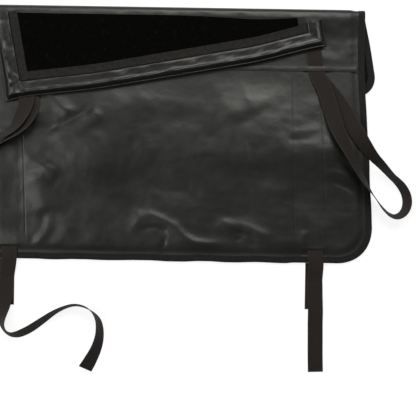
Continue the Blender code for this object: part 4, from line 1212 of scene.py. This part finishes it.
class PAD_OT_stitching(Step, bpy.types.Operator):
    """Sew the channels, the edge tapes, the keeper band and the flap's tape"""

    bl_idname = "pad.stitching"
    bl_label = "Stitching"

    def build(self, scene):
        settings = scene.pad_settings
        thread = plain("black_thread", (0.010, 0.0095, 0.009), 0.6, 0.4)
        hems = [rim_line(FRONT_DROP, FRONT_CORNER, front_place),
                rim_line(INNER_LENGTH, INNER_CORNER, back_place)]
        sew("channel_stitches", channel_lines(), thread, settings)
        sew("hem_stitches", hems, thread, settings)
        sew("band_stitches", band_lines(), thread, settings)
        sew("tape_stitches", worn_tape_lines(), thread, settings)


# Kept solids

class PAD_OT_kept_solids(Step, bpy.types.Operator):
    """Give the solids that stay as they are their cloth, foam and plastic"""

    bl_idname = "pad.kept_solids"
    bl_label = "Foam, linings and buckles"

    def build(self, scene):
        pile = cloth("lining_pile", "brushed_pile", (0.010, 0.010, 0.010), (0.03, 0.03, 0.03))
        foam = plain("grey_foam", (0.03, 0.03, 0.03), 0.95, 0.2)
        plastic = plain("buckle_moulding", (0.014, 0.014, 0.014), 0.35, 0.5)
        for material, nodes in (
                (foam, ("front_foam", "ridge_foam", "flap_foam")),
                (pile, ("front_lining", "ridge_lining", "left_strap_sleeve", "right_strap_sleeve")),
                (face_cloth(), ("flap_shell", "flap_seam_strip")),
                (plastic, ("left_buckle", "right_buckle")),
                (strap_cloth(), ("left_buckle_tab", "right_buckle_tab"))):
            for node in nodes:
                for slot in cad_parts[node].material_slots:
                    slot.material = material


# Stage

def area_lamp(name, power, size, spot, aim):
    """A soft lamp that looks at a point."""
    lamp = bpy.data.lights.new(name, "AREA")
    lamp.energy = power
    lamp.shape = "RECTANGLE"
    lamp.size, lamp.size_y = size
    obj = link(bpy.data.objects.new(name, lamp))
    obj.location = spot
    obj.rotation_euler = (Vector(aim) - Vector(spot)).to_track_quat("-Z", "Y").to_euler()


def pale_floor():
    """Plain floor that the camera sees almost white, with the object's soft shadow on it."""
    material = plain("pale_floor", (0.86, 0.86, 0.86), 0.9, 0.1)
    net = Net(material.node_tree)
    nodes = net.tree.nodes
    rays = net.add("ShaderNodeLightPath").outputs
    seen = net.math("MAXIMUM", rays["Is Camera Ray"], rays["Is Glossy Ray"])
    glow = net.add("ShaderNodeEmission", {"Strength": FLOOR_GLOW})
    mix = net.add("ShaderNodeMixShader", {
        0: net.math("MULTIPLY", seen, GLOW_SHARE), 1: nodes["Principled BSDF"].outputs[0],
        2: glow.outputs[0]})
    net.put(mix.outputs[0], nodes["Material Output"].inputs["Surface"])
    return material


class PAD_OT_stage(Step, bpy.types.Operator):
    """Set the floor, the soft lamps and the camera"""

    bl_idname = "pad.stage"
    bl_label = "Stage"

    def build(self, scene):
        settings = scene.stage_settings
        scene.view_settings.view_transform = "Standard"
        mesh = bpy.data.meshes.new("floor")
        corners = [(x * FLOOR_REACH, y * FLOOR_REACH, FLOOR_LEVEL)
                   for x, y in ((-1, -1), (1, -1), (1, 1), (-1, 1))]
        mesh.from_pydata(corners, [], [(0, 1, 2, 3)])
        mesh.materials.append(pale_floor())
        link(bpy.data.objects.new("floor", mesh))
        world = bpy.data.worlds.new("room")
        world.use_nodes = True
        background = world.node_tree.nodes["Background"].inputs
        background["Color"].default_value = (1, 1, 1, 1)
        background["Strength"].default_value = settings.room_light
        scene.world = world
        area_lamp("key_lamp", settings.key_power, **KEY_LAMP)
        area_lamp("fill_lamp", settings.fill_power, **FILL_LAMP)
        camera = bpy.data.cameras.new("camera")
        camera.sensor_width = SENSOR
        camera.lens = SENSOR * settings.camera_height / settings.view_width
        view = link(bpy.data.objects.new("camera", camera))
        view.location = (*VIEW_MIDDLE, VIEW_LEVEL + settings.camera_height)
        view.rotation_euler = (0, 0, VIEW_TURN)
        scene.camera = view


class PAD_PT_panel(bpy.types.Panel):
    """Sidebar panel that lists the steps"""

    bl_label = "Tailgate pad"
    bl_idname = "PAD_PT_panel"
    bl_space_type = "VIEW_3D"
    bl_region_type = "UI"
    bl_category = "Pad"

    def draw(self, context):
        layout = self.layout
        for settings in (context.scene.pad_settings, context.scene.stage_settings):
            for name in settings.__annotations__:
                layout.prop(settings, name)
        for step in STEPS:
            layout.operator(step.bl_idname)


STEPS = (
    PAD_OT_stage, PAD_OT_kept_solids, PAD_OT_front_face, PAD_OT_ridge_face, PAD_OT_edge_tapes,
    PAD_OT_keeper_band, PAD_OT_webbing, PAD_OT_flap, PAD_OT_stitching,
)
CLASSES = (PadSettings, StageSettings, *STEPS, PAD_PT_panel)


def register():
    """Registers the add-on's classes and settings."""
    for item in CLASSES:
        bpy.utils.register_class(item)
    bpy.types.Scene.pad_settings = bpy.props.PointerProperty(type=PadSettings)
    bpy.types.Scene.stage_settings = bpy.props.PointerProperty(type=StageSettings)


def unregister():
    """Removes the add-on's classes and settings."""
    del bpy.types.Scene.stage_settings
    del bpy.types.Scene.pad_settings
    for item in reversed(CLASSES):
        bpy.utils.unregister_class(item)


def main():
    """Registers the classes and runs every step."""
    register()
    for step in STEPS:
        group, name = step.bl_idname.split(".")
        getattr(getattr(bpy.ops, group), name)()


if __name__ == "__main__":
    main()
